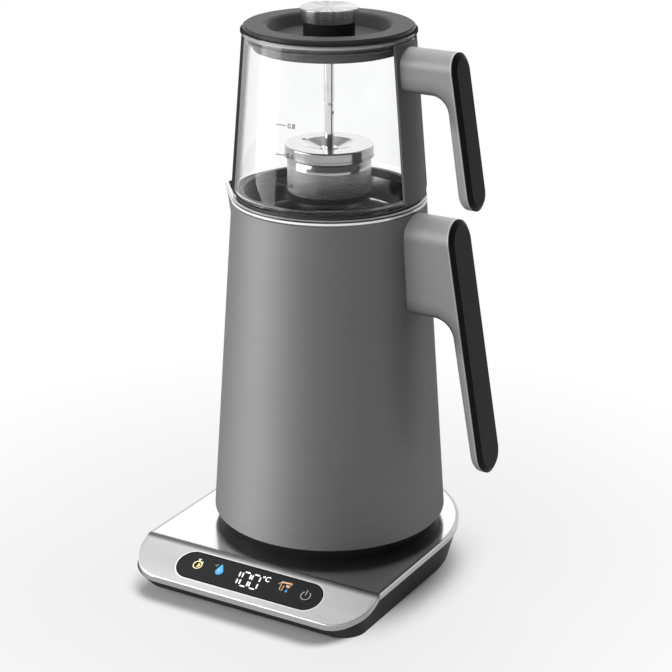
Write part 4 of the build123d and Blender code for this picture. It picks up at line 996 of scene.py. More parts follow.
@dataclass(frozen=True)
class LitLegend(Finish):
    """Printed legend with a light behind it.

    Attributes:
        upper: colour at the shape's upper edge.
        bottom: height of the lower edge in metres.
        top: height of the upper edge in metres.
        glow: strength of the light.
    """

    roughness: float = 0.4
    upper: Colour = WHITE
    bottom: float = 0.018
    top: float = 0.027
    glow: float = 0.4

    def paint(self, sheet: NodeSheet) -> None:
        """Set up the shader of the finish.

        Args:
            sheet: the material's node sheet.
        """
        level = sheet.spread(sheet.parts(sheet.where())[2], 0.0, 1.0, self.bottom, self.top)
        colour = sheet.blend(level, self.colour, self.upper)
        sheet.set(Base_Color=colour, Emission_Color=colour, Roughness=self.roughness,
                  Emission_Strength=self.glow)


@dataclass(frozen=True)
class CircuitBoard(Finish):
    """Green board with copper tracks under the mask.

    Attributes:
        light: second tone of the mask.
        track: tone over a copper track.
        fields: fields between tracks per metre.
        track_width: width of a track as a share of a field.
    """

    colour: Colour = (0.01, 0.10, 0.04)
    roughness: float = 0.35
    light: Colour = (0.012, 0.13, 0.05)
    track: Colour = (0.04, 0.24, 0.10)
    fields: float = 160.0
    track_width: float = 0.06

    def paint(self, sheet: NodeSheet) -> None:
        """Set up the shader of the finish."""
        tracks = sheet.add("ShaderNodeTexBrick", {
            "Vector": sheet.place(), "Scale": self.fields, "Mortar Size": self.track_width,
            "Color1": self.colour, "Color2": self.light, "Mortar": self.track})
        sheet.set(Base_Color=tracks.outputs["Color"], Roughness=self.roughness)


@dataclass(frozen=True)
class PlainMetal(Finish):
    """Brass, aluminium or plated steel of the inner parts."""

    roughness: float = 0.35
    metal: float = 1.0
    CLOUD: ClassVar[Pattern] = Pattern(240.0, 4.0)
    SHADES: ClassVar[Point2] = (0.85, 1.0)
    BLUR: ClassVar[Point2] = (0.08, 0.12)


FINISHES: dict[str, Finish] = {
    "cover_steel": CoverSteel("cover_brushed_steel", grey(0.86), 0.14),
    "inner_steel": BrushedSteel("vessel_steel", grey(0.50), 0.30, contrast=0.12, coarse=2.2),
    "knob_steel": KnobSteel("knob_spun_steel", (0.62, 0.62, 0.615), 0.24),
    "cup_steel": BrushedSteel("strainer_steel", (0.46, 0.46, 0.455), 0.16, anisotropy=0.3),
    "cap_steel": CapSteel("cap_steel", (0.62, 0.62, 0.61), 0.16, anisotropy=0.3),
    # steel given a dark colour that paints in the shade the pot's floor shows inside the glass
    "pot_shaded_steel": BrushedSteel("pot_shaded_steel", grey(0.19), 0.12, anisotropy=0.2),
    "rim_steel": RolledRim("rim_steel"),
    "bright_steel": PolishedSteel("bright_steel"),
    # white paint that stands for the bright reflection of a polished border
    "border_painted_highlight": SatinPaint("border_painted_highlight_satin", grey(0.94), 0.3),
    # black that paints the shadow just inside the window's border
    "painted_shadow_black": MouldedPlastic("painted_shadow_black", grey(0.004), gloss=0.05),
    "body_paint": SatinMetal("body_grey_coating", (0.34, 0.34, 0.342), 0.76),
    "kettle_handle_grey": HandlePaint("kettle_handle_grey", hollow=(0.0841, 0.175),
                                      hollow_radius=0.014, seat=(0.171, 0.13494)),
    "teapot_handle_grey": HandlePaint("teapot_handle_grey", hollow=(0.0777, 0.319),
                                      hollow_radius=0.012, seat=(0.168, 0.15039)),
    # painted shade: the strap's grey is much darker than the handle's, for how light falls on it
    "strap_shaded_grey": SatinPaint("strap_shaded_grey", (0.115, 0.115, 0.117), 0.46, gloss=0.2),
    "lid_grey": SatinPaint("lid_dark_grey", grey(0.062), gloss=0.15),
    "lid_edge": MouldedPlastic("lid_edge_black", grey(0.018), 0.38),
    "black_plastic": MouldedPlastic("black_plastic", grey(0.014), 0.42, gloss=0.05),
    "pad_black": MouldedPlastic("pad_black", grey(0.009), 0.42, gloss=0.08, grain_size=2200.0),
    "heat_plastic": MouldedPlastic("heat_plastic", (0.10, 0.085, 0.07), 0.6),
    "case_plastic": MouldedPlastic("case_plastic", (0.05, 0.05, 0.07)),
    "glass": ClearGlass("jug_glass"),
    "silicone": Rubber("grey_silicone", grey(0.10), 0.5),
    "clear_silicone": Rubber("seal_silicone", grey(0.05), 0.45),
    "black_rubber": Rubber("black_rubber", grey(0.018)),
    "mark_ink": Rubber("mark_ink", grey(0.06), 0.5),
    "window": TouchWindow("touch_window"),
    "circuit": CircuitBoard("circuit_board"),
    "brass": PlainMetal("contact_brass", (0.80, 0.58, 0.24)),
    "aluminium": PlainMetal("plate_aluminium", (0.65, 0.65, 0.66), 0.4),
    "zinc": PlainMetal("zinc_plate", (0.58, 0.58, 0.56), 0.32),
    "gold_light": LitLegend("legend_gold", (0.55, 0.36, 0.06), upper=(0.95, 0.75, 0.25)),
    "cream_light": LitLegend("legend_cream", (0.80, 0.66, 0.30), upper=(0.95, 0.88, 0.62)),
    "pale_light": LitLegend("legend_pale", (0.30, 0.62, 0.90), upper=(0.62, 0.86, 1.0)),
    "blue_light": LitLegend("legend_blue", (0.02, 0.18, 0.55), upper=(0.15, 0.55, 0.95)),
    "white_light": LitLegend("legend_white", grey(0.80), upper=grey(0.95), glow=0.9),
    "tan_light": LitLegend("legend_tan", (0.42, 0.22, 0.10), upper=(0.80, 0.52, 0.32)),
    "grey_light": LitLegend("legend_grey", grey(0.35), upper=grey(0.5), glow=0.2),
}


class Finishes:
    """Every material of the tea maker, made once."""

    def __init__(self) -> None:
        """Build the materials."""
        self.made = {key: finish.make() for key, finish in FINISHES.items()}

    def dress(self, node: str, finish: str) -> None:
        """Give a carried-over part its finish.

        Args:
            node: the part's name.
            finish: name of its finish.
        """
        slots = frame["nodes"][node].data.materials
        slots.clear()
        slots.append(self.made[finish])
        log.info("%s in %s", node, finish)

    def settle(self, piece: bpy.types.Object, finish: str, body: str) -> None:
        """Finish a new piece, and say its slot and the body that it moves with.

        Args:
            piece: the new piece.
            finish: name of its finish.
            body: body that it moves with.
        """
        piece.data.materials.append(self.made[finish])
        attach(piece, body)
        log.info("%s in %s, moving with %s", piece.name, finish, body)


# ---------------------------------------------------------------- studio
@dataclass(frozen=True)
class SoftBox:
    """Area lamp.

    Attributes:
        name: the lamp's name.
        spot: where it hangs, in metres.
        size: width and height in metres.
        power: its power in watts.
        mirrored: whether bright surfaces show it.
    """

    name: str
    spot: Point3
    size: Point2
    power: float
    mirrored: bool = True

    def hang(self, aim: Point3) -> None:
        """Add the lamp.

        Args:
            aim: the point that it faces, in metres.
        """
        data = bpy.data.lights.new(self.name, "AREA")
        data.shape = "RECTANGLE"
        data.size, data.size_y = self.size
        data.energy = self.power
        lamp = bpy.data.objects.new(self.name, data)
        bpy.context.collection.objects.link(lamp)
        lamp.location = self.spot
        lamp.rotation_euler = (Vector(aim) - Vector(self.spot)).to_track_quat("-Z", "Y").to_euler()
        lamp.visible_glossy = self.mirrored
        lamp.visible_transmission = self.mirrored


@dataclass
class Studio:
    """Floor, lamps, world and camera.

    Attributes:
        camera_at: where the camera stands, in metres.
        looking: the direction it looks in.
        focal: its focal length in millimetres.
        sensor: width of its sensor in millimetres.
        clip: nearest and farthest distance that it shows, in metres.
        soft_boxes: the lamps.
        aim: the point that they face.
        floor_size: half length of the floor in metres.
        floor_cloud: pattern of the floor's greys.
        floor_tones: the two greys.
        floor_gloss: level of the floor's reflection.
        floor_roughness: its roughness.
        corner: radius of the corners of the base's shadow.
        right_inset: how far inside the base's right side the distances start.
        near_share: share of white that the floor reaches close to the base.
        near_fade: distances from the base at which it starts and is reached.
        shade_middle: middle of a drawn shadow shape, which lies to the right of the base.
        shade_size: half its width and half its depth.
        shade_fade: shares of that size at which the shadow starts to fade and ends.
        far_fade: distances at which the rest starts and is reached.
        near_shaded_white: strength of the white close to the base, below one, which paints a faint
            shade round it.
        bright_side: direction of the middle of the white surroundings.
        bright_range: agreement with it at which white starts and is full.
        bright: strength of the white surroundings, as metal and glass show them.
        dark_side: strength of the surroundings on the other side.
        gap_start: sines of the heights at which the gap under the overhead white begins.
        gap_end: sines of the heights at which it ends.
        gap_share: share of white left in the gap.
        ambient: strength of the light that matt surfaces get from all round.
    """

    camera_at: Point3 = (0.616888, -1.047284, 0.611664)
    looking: Point3 = (-0.472488, 0.808756, -0.350240)
    focal: float = 104.735
    sensor: float = 36.0
    clip: Point2 = (0.05, 20.0)
    soft_boxes: tuple[SoftBox, ...] = (
        SoftBox("key_left", (-1.15, -0.95, 0.50), (0.9, 1.2), 17.0),
        SoftBox("edge_left", (-0.85, -1.35, 0.95), (0.6, 0.6), 4.6),
        SoftBox("front_fill", (0.15, -1.60, 0.70), (1.0, 0.8), 7.5, mirrored=False),
        SoftBox("top", (-0.45, 0.80, 1.60), (0.9, 0.9), 29.0, mirrored=False),
        SoftBox("back_glow", (-0.76, 1.29, 0.66), (1.7, 0.9), 2.4))
    aim: Point3 = (0.0, 0.0, 0.18)
    floor_size: float = 4.0
    floor_cloud: Pattern = Pattern(3.0)
    floor_tones: tuple[Colour, Colour] = (grey(0.56), grey(0.58))
    floor_gloss: float = 0.1
    floor_roughness: float = 0.7
    corner: float = 0.025
    right_inset: float = 0.024
    near_share: float = 0.93
    near_fade: Point2 = (0.0, 0.012)
    shade_middle: Point3 = (0.066, -0.015, 0.0)
    shade_size: Point2 = (0.040, 0.095)
    shade_fade: Point2 = (0.15, 1.15)
    far_fade: Point2 = (0.030, 0.30)
    near_shaded_white: float = 0.89
    bright_side: Point3 = (-0.49, 0.83, 0.30)
    bright_range: Point2 = (-0.3, 0.6)
    bright: float = 0.8
    dark_side: float = 0.096
    gap_start: Point2 = (0.44, 0.54)
    gap_end: Point2 = (0.66, 0.76)
    gap_share: float = 0.35
    ambient: float = 0.20

    def camera(self) -> None:
        """Set up the camera."""
        data = bpy.data.cameras.new("camera")
        data.lens = self.focal
        data.sensor_width = self.sensor
        data.sensor_fit = "HORIZONTAL"
        data.clip_start, data.clip_end = self.clip
        camera = bpy.data.objects.new("camera", data)
        bpy.context.collection.objects.link(camera)
        back = -Vector(self.looking).normalized()
        right = Vector(UPWARDS).cross(back).normalized()
        turn = Matrix((right, back.cross(right), back)).transposed().to_4x4()
        camera.matrix_world = Matrix.Translation(self.camera_at) @ turn
        bpy.context.scene.camera = camera

    def away(self, sheet: NodeSheet) -> Signal:
        """Distance of a place on the floor from the base.

        Args:
            sheet: the floor's node sheet.

        Returns:
            The distance in metres.
        """
        low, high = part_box("base_housing")
        x, y, _ = sheet.parts(sheet.where())
        across = sheet.math("ADD", x, sheet.spread(x, 0.0, self.right_inset, 0.0, high[0]))
        plan = sheet.combine(across, sheet.math("MAXIMUM", y, 0.0))
        beside = sheet.math("SUBTRACT", sheet.vector("LENGTH", plan), high[0] - self.corner)
        before = sheet.math("SUBTRACT", low[1] + self.corner, y)
        outside = sheet.vector("MAXIMUM", sheet.combine(beside, before))
        return sheet.math("SUBTRACT", sheet.vector("LENGTH", outside), self.corner)

    def shade(self, sheet: NodeSheet) -> Signal:
        """How far a place on the floor is out of a drawn shadow shape, inside which the lamp-lit
        floor with its own shadow shows through the white.

        Args:
            sheet: the floor's node sheet.

        Returns:
            The share of white that is left there.
        """
        width, depth = self.shade_size
        shift = sheet.vector("SUBTRACT", sheet.where(), self.shade_middle)
        fitted = sheet.vector("MULTIPLY", shift, (1 / width, 1 / depth, 0.0))
        return sheet.spread(sheet.vector("LENGTH", fitted), 0.0, 1.0, *self.shade_fade,
                            smooth=True)

    def floor(self) -> None:
        """Lay the pale floor, which turns into pure white away from the base, with a painted faint
        shade close to it.
        """
        half = self.floor_size / MM
        corners = [(-half, -half, 0), (half, -half, 0), (half, half, 0), (-half, half, 0)]
        floor = mesh_piece("floor", corners, [(0, 1, 2, 3)], smooth=False)
        sheet = NodeSheet("pale_floor")
        cloud = sheet.spread(self.floor_cloud.on(sheet), 0.0, 1.0)
        sheet.set(Base_Color=sheet.blend(cloud, *self.floor_tones),
                  Roughness=self.floor_roughness, Specular_IOR_Level=self.floor_gloss)
        away = self.away(sheet)
        near = sheet.spread(away, 0.0, self.near_share, *self.near_fade, smooth=True)
        far = sheet.spread(away, 0.0, 1.0 - self.near_share, *self.far_fade, smooth=True)
        lit = sheet.math("MULTIPLY", sheet.math("ADD", near, far), self.shade(sheet))
        # painted shade: the white is a little dimmer close to the base
        white = sheet.closure("ShaderNodeEmission", Strength=sheet.spread(
            away, self.near_shaded_white, 1.0, *self.far_fade))
        sheet.surface(sheet.mix(sheet.math("MULTIPLY", lit, sheet.seen()),
                                sheet.shader.outputs["BSDF"], white))
        floor.data.materials.append(sheet.material)

    def world(self) -> None:
        """White surroundings behind the object, and dark ones on the side it is seen from."""
        sheet = SkySheet("studio")
        side = sheet.spread(sheet.towards(self.bright_side), 0.0, 1.0, *self.bright_range,
                            smooth=True)
        rise = sheet.towards(UPWARDS)
        below = sheet.spread(rise, 1.0, self.gap_share, *self.gap_start)
        above = sheet.spread(rise, self.gap_share, 1.0, *self.gap_end)
        bright = sheet.math("MULTIPLY", side, sheet.math("MAXIMUM", below, above))
        mirrored = sheet.mix(bright, sheet.light(self.dark_side), sheet.light(self.bright))
        around = sheet.mix(sheet.seen(), sheet.light(self.ambient), mirrored)
        camera = sheet.add("ShaderNodeLightPath").outputs["Is Camera Ray"]
        sheet.surface(sheet.mix(camera, around, sheet.light(1.0)))

    def build(self) -> None:
        """Set up the whole studio."""
        self.camera()
        self.floor()
        self.world()
        for box in self.soft_boxes:
            box.hang(self.aim)
        bpy.context.scene.view_settings.view_transform = "Standard"


# ---------------------------------------------------------------- sub-assemblies
@dataclass(frozen=True)
class Figures:
    """Seven-segment figures, in millimetres.

    Attributes:
        wide: distance between the upright segments.
        high: distance between the top and bottom ones.
        thick: thickness of a segment.
        gap: gap between two of them.
        slant: how far a figure leans for each millimetre up.
    """

    wide: float = 5.7
    high: float = 11.2
    thick: float = 1.0
    gap: float = 0.26
    slant: float = -0.15

    def segment(self, length: float) -> Loop:
        """Outline of a pointed segment along the first axis, by the length that it fills."""
        half, tip, body = self.thick / 2, self.gap + self.thick / 2, self.gap + self.thick
        return [(tip, 0), (body, half), (length - body, half),
                (length - tip, 0), (length - body, -half), (body, -half)]

    def lit(self, left: float, letters: str) -> list[Loop]:
        """Lit segments of one figure.

        Args:
            left: left edge of the figure.
            letters: letters of the lit segments, a to g.

        Returns:
            One loop for each segment.
        """
        mid = self.high / 2
        level, upright = self.segment(self.wide), [(y, x) for x, y in self.segment(mid)]
        spots = {"a": (level, 0, self.high), "g": (level, 0, mid), "d": (level, 0, 0),
                 "f": (upright, 0, mid), "b": (upright, self.wide, mid), "e": (upright, 0, 0),
                 "c": (upright, self.wide, 0)}
        return [[(left + x + right + self.slant * (y + up - mid), y + up - mid)
                 for x, y in shape] for shape, right, up in map(spots.get, letters)]


@dataclass
class TouchPanel:
    """Legends and border of the touch window on the base's sloping strip.

    Attributes:
        crease: distance of the crease from the kettle's axis.
        top: height of the base's flat top.
        down: distance of the window's middle from the crease.
        tilt: slope of the strip in degrees.
        length: length of the window.
        width: width of the window.
        bevel: distances outside the window and heights over it of the border's edges.
        shadow_line_reach: how far the painted shadow line inside the border reaches into the
            window.
        proud: how far a legend stands above the window.
    """

    crease: float = 88.6
    top: float = 28.8
    down: float = 16.1
    tilt: float = 24.0
    length: float = 109.5
    width: float = 22.4
    bevel: tuple[Point2, ...] = ((0.0, -0.25), (0.0, 0.10), (0.35, 0.16), (0.8, 0.03),
                                 (0.8, -0.25))
    shadow_line_reach: float = 0.75
    proud: float = 0.06

    def plate(self) -> Plate:
        """Plane of the window."""
        cos, sin = math.cos(math.radians(self.tilt)), math.sin(math.radians(self.tilt))
        return Plate(Vector((0.0, -self.crease - self.down * cos, self.top - self.down * sin)),
                     Vector((1.0, 0.0, 0.0)), Vector((0.0, cos, sin)))

    def slot_outline(self, grow: float) -> Loop:
        """Outline of the window, grown by a distance."""
        half, radius = self.length / 2 - self.width / 2, self.width / 2 + grow
        return arc((half, 0.0), radius, -90, 90, 32) + arc((-half, 0.0), radius, 90, 270, 32)

    def border(self) -> bpy.types.Object:
        """Bevelled border round the window, whose white paint is a painted highlight for its
        bright trim.

        Returns:
            The border.
        """
        plate = self.plate()
        points = [plate.at(u, v, height) for grow, height in self.bevel
                  for u, v in self.slot_outline(grow)]
        rings = len(self.bevel)
        count = len(points) // rings
        faces = [face for ring in range(rings)
                 for face in band(ring * count, (ring + 1) % rings * count, count)]
        piece = mesh_piece("window_border", points, faces)
        finish_normals(piece)
        return piece

    def ring(self, inner: float, outer: float) -> list[Loop]:
        """Quads of a band round the window's outline.

        Args:
            inner: growth of the outline at the band's inner edge.
            outer: growth at its outer edge.

        Returns:
            One loop for each quad.
        """
        rings = self.slot_outline(inner) + self.slot_outline(outer)
        count = len(rings) // 2
        return [[rings[corner] for corner in face] for face in band(0, count, count)]

    def legends(self) -> dict[str, tuple[str, list[Loop]]]:
        """All legends.

        Returns:
            Light and loops of each, by name.
        """
        dial = (-40.1, 1.0)
        timer = (round_line(dial, 3.0, 40, 0.7) + stroke([(-40.5, 4.1), (-40.6, 5.3)], 0.9)
                 + stroke([(-41.6, 5.5), (-39.6, 5.8)], 0.8)
                 + stroke([(-38.0, 3.6), (-37.4, 4.3)], 0.8))
        timer_hand = [[dial] + arc(dial, 1.9, -95, 80, 16)]
        drop = [arc((-23.0, 0.5), 2.75, 160, 382, 30) + [(-22.3, 4.6), (-23.7, 6.5), (-24.7, 4.2)]]
        drop_light = [arc((-23.3, 1.3), 1.35, 90, 270, 14)
                      + [(-23.0, -0.2), (-22.7, 1.6), (-23.2, 3.4)]]
        figures = [loop for left, letters in ((-13.45, "bc"), (-5.45, "abcdef"), (1.85, "abcdef"))
                   for loop in Figures().lit(left, letters)]
        degree = (round_line((9.0, 5.6), 0.62, 16, 0.45)
                  + stroke(arc((12.6, 4.7), 1.75, 45, 315, 18), 0.62))
        tap = (stroke([(22.0, 5.6), (29.7, 6.1), (29.6, 4.9)], 1.25)
               + stroke([(22.7, 5.0), (23.5, -0.4), (25.4, -0.8), (25.1, 3.4)], 0.62)
               + [[(26.4, 4.6), (29.5, 4.3), (29.3, 2.3), (26.9, 2.6)]])
        tap_drop = [arc((28.6, -0.5), 0.8, 160, 380, 12) + [(28.4, 1.3)]]
        ticks = (stroke([(-27.9, 4.6), (-27.2, 4.0), (-26.4, 5.6)], 0.5)
                 + stroke([(20.6, 4.4), (21.3, 3.7), (22.0, 5.1)], 0.5))
        power = (stroke(arc((42.8, 0.4), 3.25, 125, 415, 36), 0.62)
                 + stroke([(42.6, 0.6), (42.2, 4.9)], 0.62))
        return {"timer_mark": ("cream_light", timer), "timer_hand": ("gold_light", timer_hand),
                "water_mark": ("blue_light", drop), "water_glint": ("pale_light", drop_light),
                "heat_figures": ("white_light", figures), "degree_mark": ("white_light", degree),
                "tick_marks": ("grey_light", ticks), "tap_mark": ("tan_light", tap),
                "tap_drop_mark": ("blue_light", tap_drop), "power_mark": ("grey_light", power)}

    def build(self, finishes: Finishes) -> None:
        """Make the border and the legends.

        Args:
            finishes: the materials.
        """
        plate = self.plate()
        finishes.settle(self.border(), "border_painted_highlight", "base")
        # painted shadow: a black ring just inside the border, where its recess lies in shade
        gap = pressed("window_painted_shadow", plate, self.ring(-self.shadow_line_reach, 0.0), self.proud)
        finishes.settle(gap, "painted_shadow_black", "base")
        for name, (light, loops) in self.legends().items():
            finishes.settle(pressed(name, plate, loops, self.proud), light, "base")


@dataclass
class SubAssembly:
    """Nodes of one sub-assembly, and the pieces that it adds to them.

    Attributes:
        finish_of: finish of each node.
    """

    finish_of: ClassVar[Mapping[str, str]] = {}

    def add_pieces(self, finishes: Finishes) -> None:
        """Make the pieces that only the finished look has, where there are any."""

    def build(self, finishes: Finishes) -> None:
        """Give each node its finish, and add the other pieces.

        Args:
            finishes: the materials.
        """
        for node, finish in self.finish_of.items():
            finishes.dress(node, finish)
        self.add_pieces(finishes)
        log.info("%s dressed", type(self).__name__)


@dataclass
class PoweredBase(SubAssembly):
    """The powered base with its inner parts and its touch panel."""

    finish_of: ClassVar[Mapping[str, str]] = {
        "base_cover": "cover_steel", "base_housing": "black_plastic", "cover_standoffs": "zinc",
        "base_screws": "zinc", "rubber_feet": "black_rubber", "cord_gland": "black_rubber",
        "touch_panel": "window", "display_module": "case_plastic", "touch_springs": "brass",
        "control_board": "circuit", "power_board": "circuit", "board_components": "case_plastic",
        "board_screws": "zinc", "base_connector": "black_plastic", "connector_contacts": "brass"}

    def add_pieces(self, finishes: Finishes) -> None:
        """Add the touch panel's border and legends."""
        TouchPanel().build(finishes)


@dataclass
class Kettle(SubAssembly):
    """The kettle and its inner parts."""

    finish_of: ClassVar[Mapping[str, str]] = {
        "kettle_shell": "body_paint", "kettle_liner": "inner_steel", "kettle_rim": "rim_steel",
        "kettle_base_ring": "black_plastic", "kettle_socket": "heat_plastic",
        "socket_contacts": "brass", "heating_plate": "aluminium", "heating_element": "inner_steel",
        "plate_studs": "zinc", "kettle_base_screws": "zinc", "thermostat": "heat_plastic",
        "bimetal_discs": "brass", "temperature_probe": "bright_steel",
        "kettle_handle": "kettle_handle_grey", "kettle_handle_screws": "zinc",
        "kettle_handle_pad": "pad_black"}


@dataclass
class Teapot(SubAssembly):
    """The glass teapot with its level marks.

    Attributes:
        glass_low: height and outer radius near the bottom of the glass.
        glass_high: the same at the rim.
        marks: figure and height of each level mark.
        figure_size: size of the figures.
        figure_at: where a figure starts, to the right of the front and over its mark.
        line_start: where a mark's line starts, to the right of the front.
        line_length: length of the line.
        line_width: width of the line.
        line_steps: runs that it bends in.
        proud: how far the ink stands above the glass.
        swell: how much bolder than its font a figure is, in metres.
    """

    glass_low: Point2 = (257.0, 63.4)
    glass_high: Point2 = (363.4, 54.7)
    marks: tuple[tuple[str, float], ...] = (("0.8", 314.0), ("0.6", 295.6), ("0.4", 277.2))
    figure_size: float = 4.2
    figure_at: Point2 = (5.0, -1.5)
    line_start: float = -3.2
    line_length: float = 7.1
    line_width: float = 0.5
    line_steps: int = 12
    proud: float = 0.03
    swell: float = 0.00008
    finish_of: ClassVar[Mapping[str, str]] = {
        "glass_jug": "glass", "teapot_base": "pot_shaded_steel", "teapot_seal": "clear_silicone",
        "strap_bond": "silicone", "handle_strap": "strap_shaded_grey",
        "teapot_handle": "teapot_handle_grey", "teapot_handle_screw": "zinc",
        "teapot_handle_pad": "pad_black"}

    def on_glass(self, along: float, height: float) -> Vector:
        """Point of a print on the outside of the glass.

        Args:
            along: distance round the glass from its front, to the right.
            height: height above the table.

        Returns:
            The point, in millimetres.
        """
        (low, low_radius), (high, high_radius) = self.glass_low, self.glass_high
        radius = (low_radius + (height - low) / (high - low) * (high_radius - low_radius)
                  + self.proud)
        angle = math.radians(-90.0) + along / radius
        return Vector((radius * math.cos(angle), radius * math.sin(angle), height))

    def outline(self, text: str) -> bpy.types.Mesh:
        """Flat mesh of a figure.

        Args:
            text: the figure.

        Returns:
            The mesh, in metres.
        """
        curve = bpy.data.curves.new("figure", "FONT")
        curve.body = text
        curve.size = self.figure_size * MM
        curve.offset = self.swell
        holder = bpy.data.objects.new("figure", curve)
        bpy.context.collection.objects.link(holder)
        view = bpy.context.evaluated_depsgraph_get()
        mesh = bpy.data.meshes.new_from_object(holder.evaluated_get(view))
        bpy.data.objects.remove(holder)
        return mesh

    def figure(self, name: str, text: str, height: float) -> bpy.types.Object:
        """Print a figure beside its mark.

        Args:
            name: the piece's name.
            text: the figure.
            height: height of the mark.

        Returns:
            The piece.
        """
        flat = self.outline(text)
        right, up = self.figure_at
        spots = [vertex.co / MM for vertex in flat.vertices]
        points = [self.on_glass(spot.x + right, height + spot.y + up) for spot in spots]
        return mesh_piece(name, points, [list(face.vertices) for face in flat.polygons],
                          smooth=False)

    def line(self, name: str, height: float) -> bpy.types.Object:
        """Print the line of a mark.

        Args:
            name: the piece's name.
            height: height of the mark.

        Returns:
            The piece.
        """
        places = [self.line_start + self.line_length * step / self.line_steps
                  for step in range(self.line_steps + 1)]
        points = [self.on_glass(along, height + side * self.line_width / 2)
                  for along in places for side in (-1, 1)]
        faces = [(2 * i, 2 * i + 2, 2 * i + 3, 2 * i + 1) for i in range(self.line_steps)]
        return mesh_piece(name, points, faces, smooth=False)

    def add_pieces(self, finishes: Finishes) -> None:
        """Print the level marks.

        Args:
            finishes: the materials.
        """
        for number, (text, height) in enumerate(self.marks):
            for piece in (self.figure(f"level_figure_{number}", text, height),
                          self.line(f"level_line_{number}", height)):
                finishes.settle(piece, "mark_ink", "teapot")


@dataclass
class Lid(SubAssembly):
    """The lid."""

    finish_of: ClassVar[Mapping[str, str]] = {
        "lid_cover": "lid_grey", "lid_edge_ring": "lid_edge", "lid_skirt": "silicone",
        "lid_gasket": "silicone", "rod_bush": "black_plastic"}


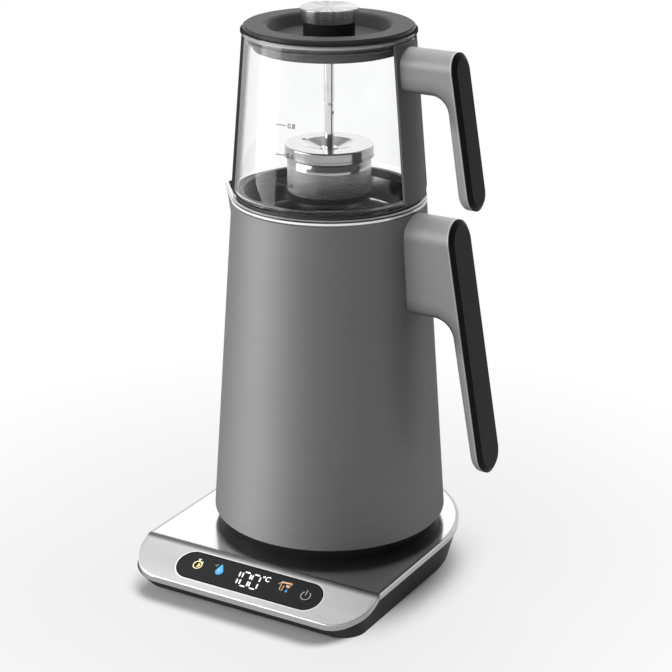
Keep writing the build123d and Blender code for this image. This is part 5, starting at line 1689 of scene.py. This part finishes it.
@dataclass
class PerforatedCup:
    """Steel cup with a band of staggered holes.

    Attributes:
        radius: outer radius of the cup.
        top: height of its upper edge.
        bottom: height of its underside.
        corner: radius of its bottom corner.
        corner_steps: runs that the corner bends in.
        floor_rings: radii of the rings of its floor.
        sheet: thickness of its steel.
        holed: lower and upper height of the perforated band.
        pitch: distance between holes.
        row_share: distance between rows as a share of that.
        hole: radius of a hole.
        hole_turns: angles of a hole's corners in degrees, the lower three first.
    """

    radius: float = 27.1
    top: float = 284.2
    bottom: float = 250.2
    corner: float = 8.0
    corner_steps: int = 8
    floor_rings: tuple[float, ...] = (0.5, 6.0, 13.0)
    sheet: float = 0.6
    holed: Point2 = (259.6, 275.2)
    pitch: float = 1.35
    row_share: float = 0.87
    hole: float = 0.5
    hole_turns: tuple[int, ...] = (225, 270, 315, 45, 90, 135)

    def __post_init__(self) -> None:
        """Work out how many holes there are, and start with an empty mesh."""
        low, high = self.holed
        self.around = round(math.tau * self.radius / self.pitch)
        self.rows = round((high - low) / (self.pitch * self.row_share))
        self.columns = 2 * self.around
        self.points: list[Point3] = []
        self.faces: list[Sequence[int]] = []

    def at(self, turn: float, radius: float, height: float) -> Point3:
        """Point by its column round the cup, its radius and its height."""
        angle = math.tau * turn / self.columns
        return (radius * math.cos(angle), radius * math.sin(angle), height)

    def ring(self, radius: float, height: float) -> int:
        """Add a ring of corners.

        Args:
            radius: its radius.
            height: its height.

        Returns:
            Number of its first corner.
        """
        start = len(self.points)
        self.points += [self.at(turn, radius, height) for turn in range(self.columns)]
        return start

    def bowl(self) -> int:
        """Make the floor, the corner and the wall up to the holes.

        Returns:
            Number of the first corner at the holes' lower edge.
        """
        rings = [self.ring(radius, self.bottom) for radius in self.floor_rings]
        for step in range(self.corner_steps + 1):
            angle = math.radians(-90.0 + 90.0 * step / self.corner_steps)
            rings.append(self.ring(self.radius - self.corner + self.corner * math.cos(angle),
                                   self.bottom + self.corner + self.corner * math.sin(angle)))
        rings.append(self.ring(self.radius, self.holed[0]))
        for low, high in zip(rings, rings[1:]):
            self.faces += band(low, high, self.columns)
        self.faces.append(list(range(self.columns - 1, -1, -1)))
        return rings[-1]

    def cell(self, left: int, below: int, above: int, middle: float) -> None:
        """Make the wall round one hole.

        Args:
            left: column of the cell's left edge.
            below: number of the first corner of the ring under the cell.
            above: the same of the ring over it.
            middle: height of the hole's middle.
        """
        places = [(left + shift) % self.columns for shift in (0, 1, 2)]
        edge = [below + place for place in places] + [above + place for place in places[::-1]]
        start, count = len(self.points), len(edge)
        for angle in map(math.radians, self.hole_turns):
            turn = left + 1 + self.hole * math.cos(angle) / self.pitch * 2
            self.points.append(self.at(turn, self.radius, middle + self.hole * math.sin(angle)))
        self.faces += [[edge[index], edge[after], start + after, start + index]
                       for index, after in ((index, (index + 1) % count)
                                            for index in range(count))]

    def holes(self, below: int) -> int:
        """Make the perforated band, row by row.

        Args:
            below: number of the first corner at its lower edge.

        Returns:
            Number of the first corner at its upper edge.
        """
        low, high = self.holed
        step = (high - low) / self.rows
        for row in range(self.rows):
            above = self.ring(self.radius, low + (row + 1) * step)
            for hole in range(self.around):
                self.cell(2 * hole + row % 2, below, above, low + (row + 0.5) * step)
            below = above
        return below

    def build(self) -> bpy.types.Object:
        """Make the cup, with its sheet's thickness.

        Returns:
            The cup.
        """
        wall = self.holes(self.bowl())
        self.faces += band(wall, self.ring(self.radius, self.top), self.columns)
        cup = mesh_piece("perforated_cup", self.points, self.faces)
        finish_normals(cup, 30.0)
        solid = cup.modifiers.new("sheet", "SOLIDIFY")
        solid.thickness = self.sheet * MM
        solid.offset = -1.0
        return cup


@dataclass
class Strainer(SubAssembly):
    """The knob, the rod and the strainer with its perforated cup."""

    finish_of: ClassVar[Mapping[str, str]] = {
        "knob_cap": "knob_steel", "knob_neck": "black_plastic", "knob_screw": "zinc",
        "upper_rod": "bright_steel", "lower_stem": "bright_steel",
        "stem_ferrule": "bright_steel", "strainer_cap": "cap_steel"}

    def add_pieces(self, finishes: Finishes) -> None:
        """Add the cup.

        Args:
            finishes: the materials.
        """
        cup = PerforatedCup().build()
        finishes.settle(cup, "cup_steel", "cup")
        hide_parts("strainer_cup")


def main() -> None:
    """Build the studio and dress each sub-assembly in turn."""
    logging.basicConfig(level=logging.INFO, format="%(name)s: %(message)s")
    Studio().build()
    finishes = Finishes()
    for part in (PoweredBase(), Kettle(), Teapot(), Lid(), Strainer()):
        part.build(finishes)


if __name__ == "__main__":
    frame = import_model()
    main()
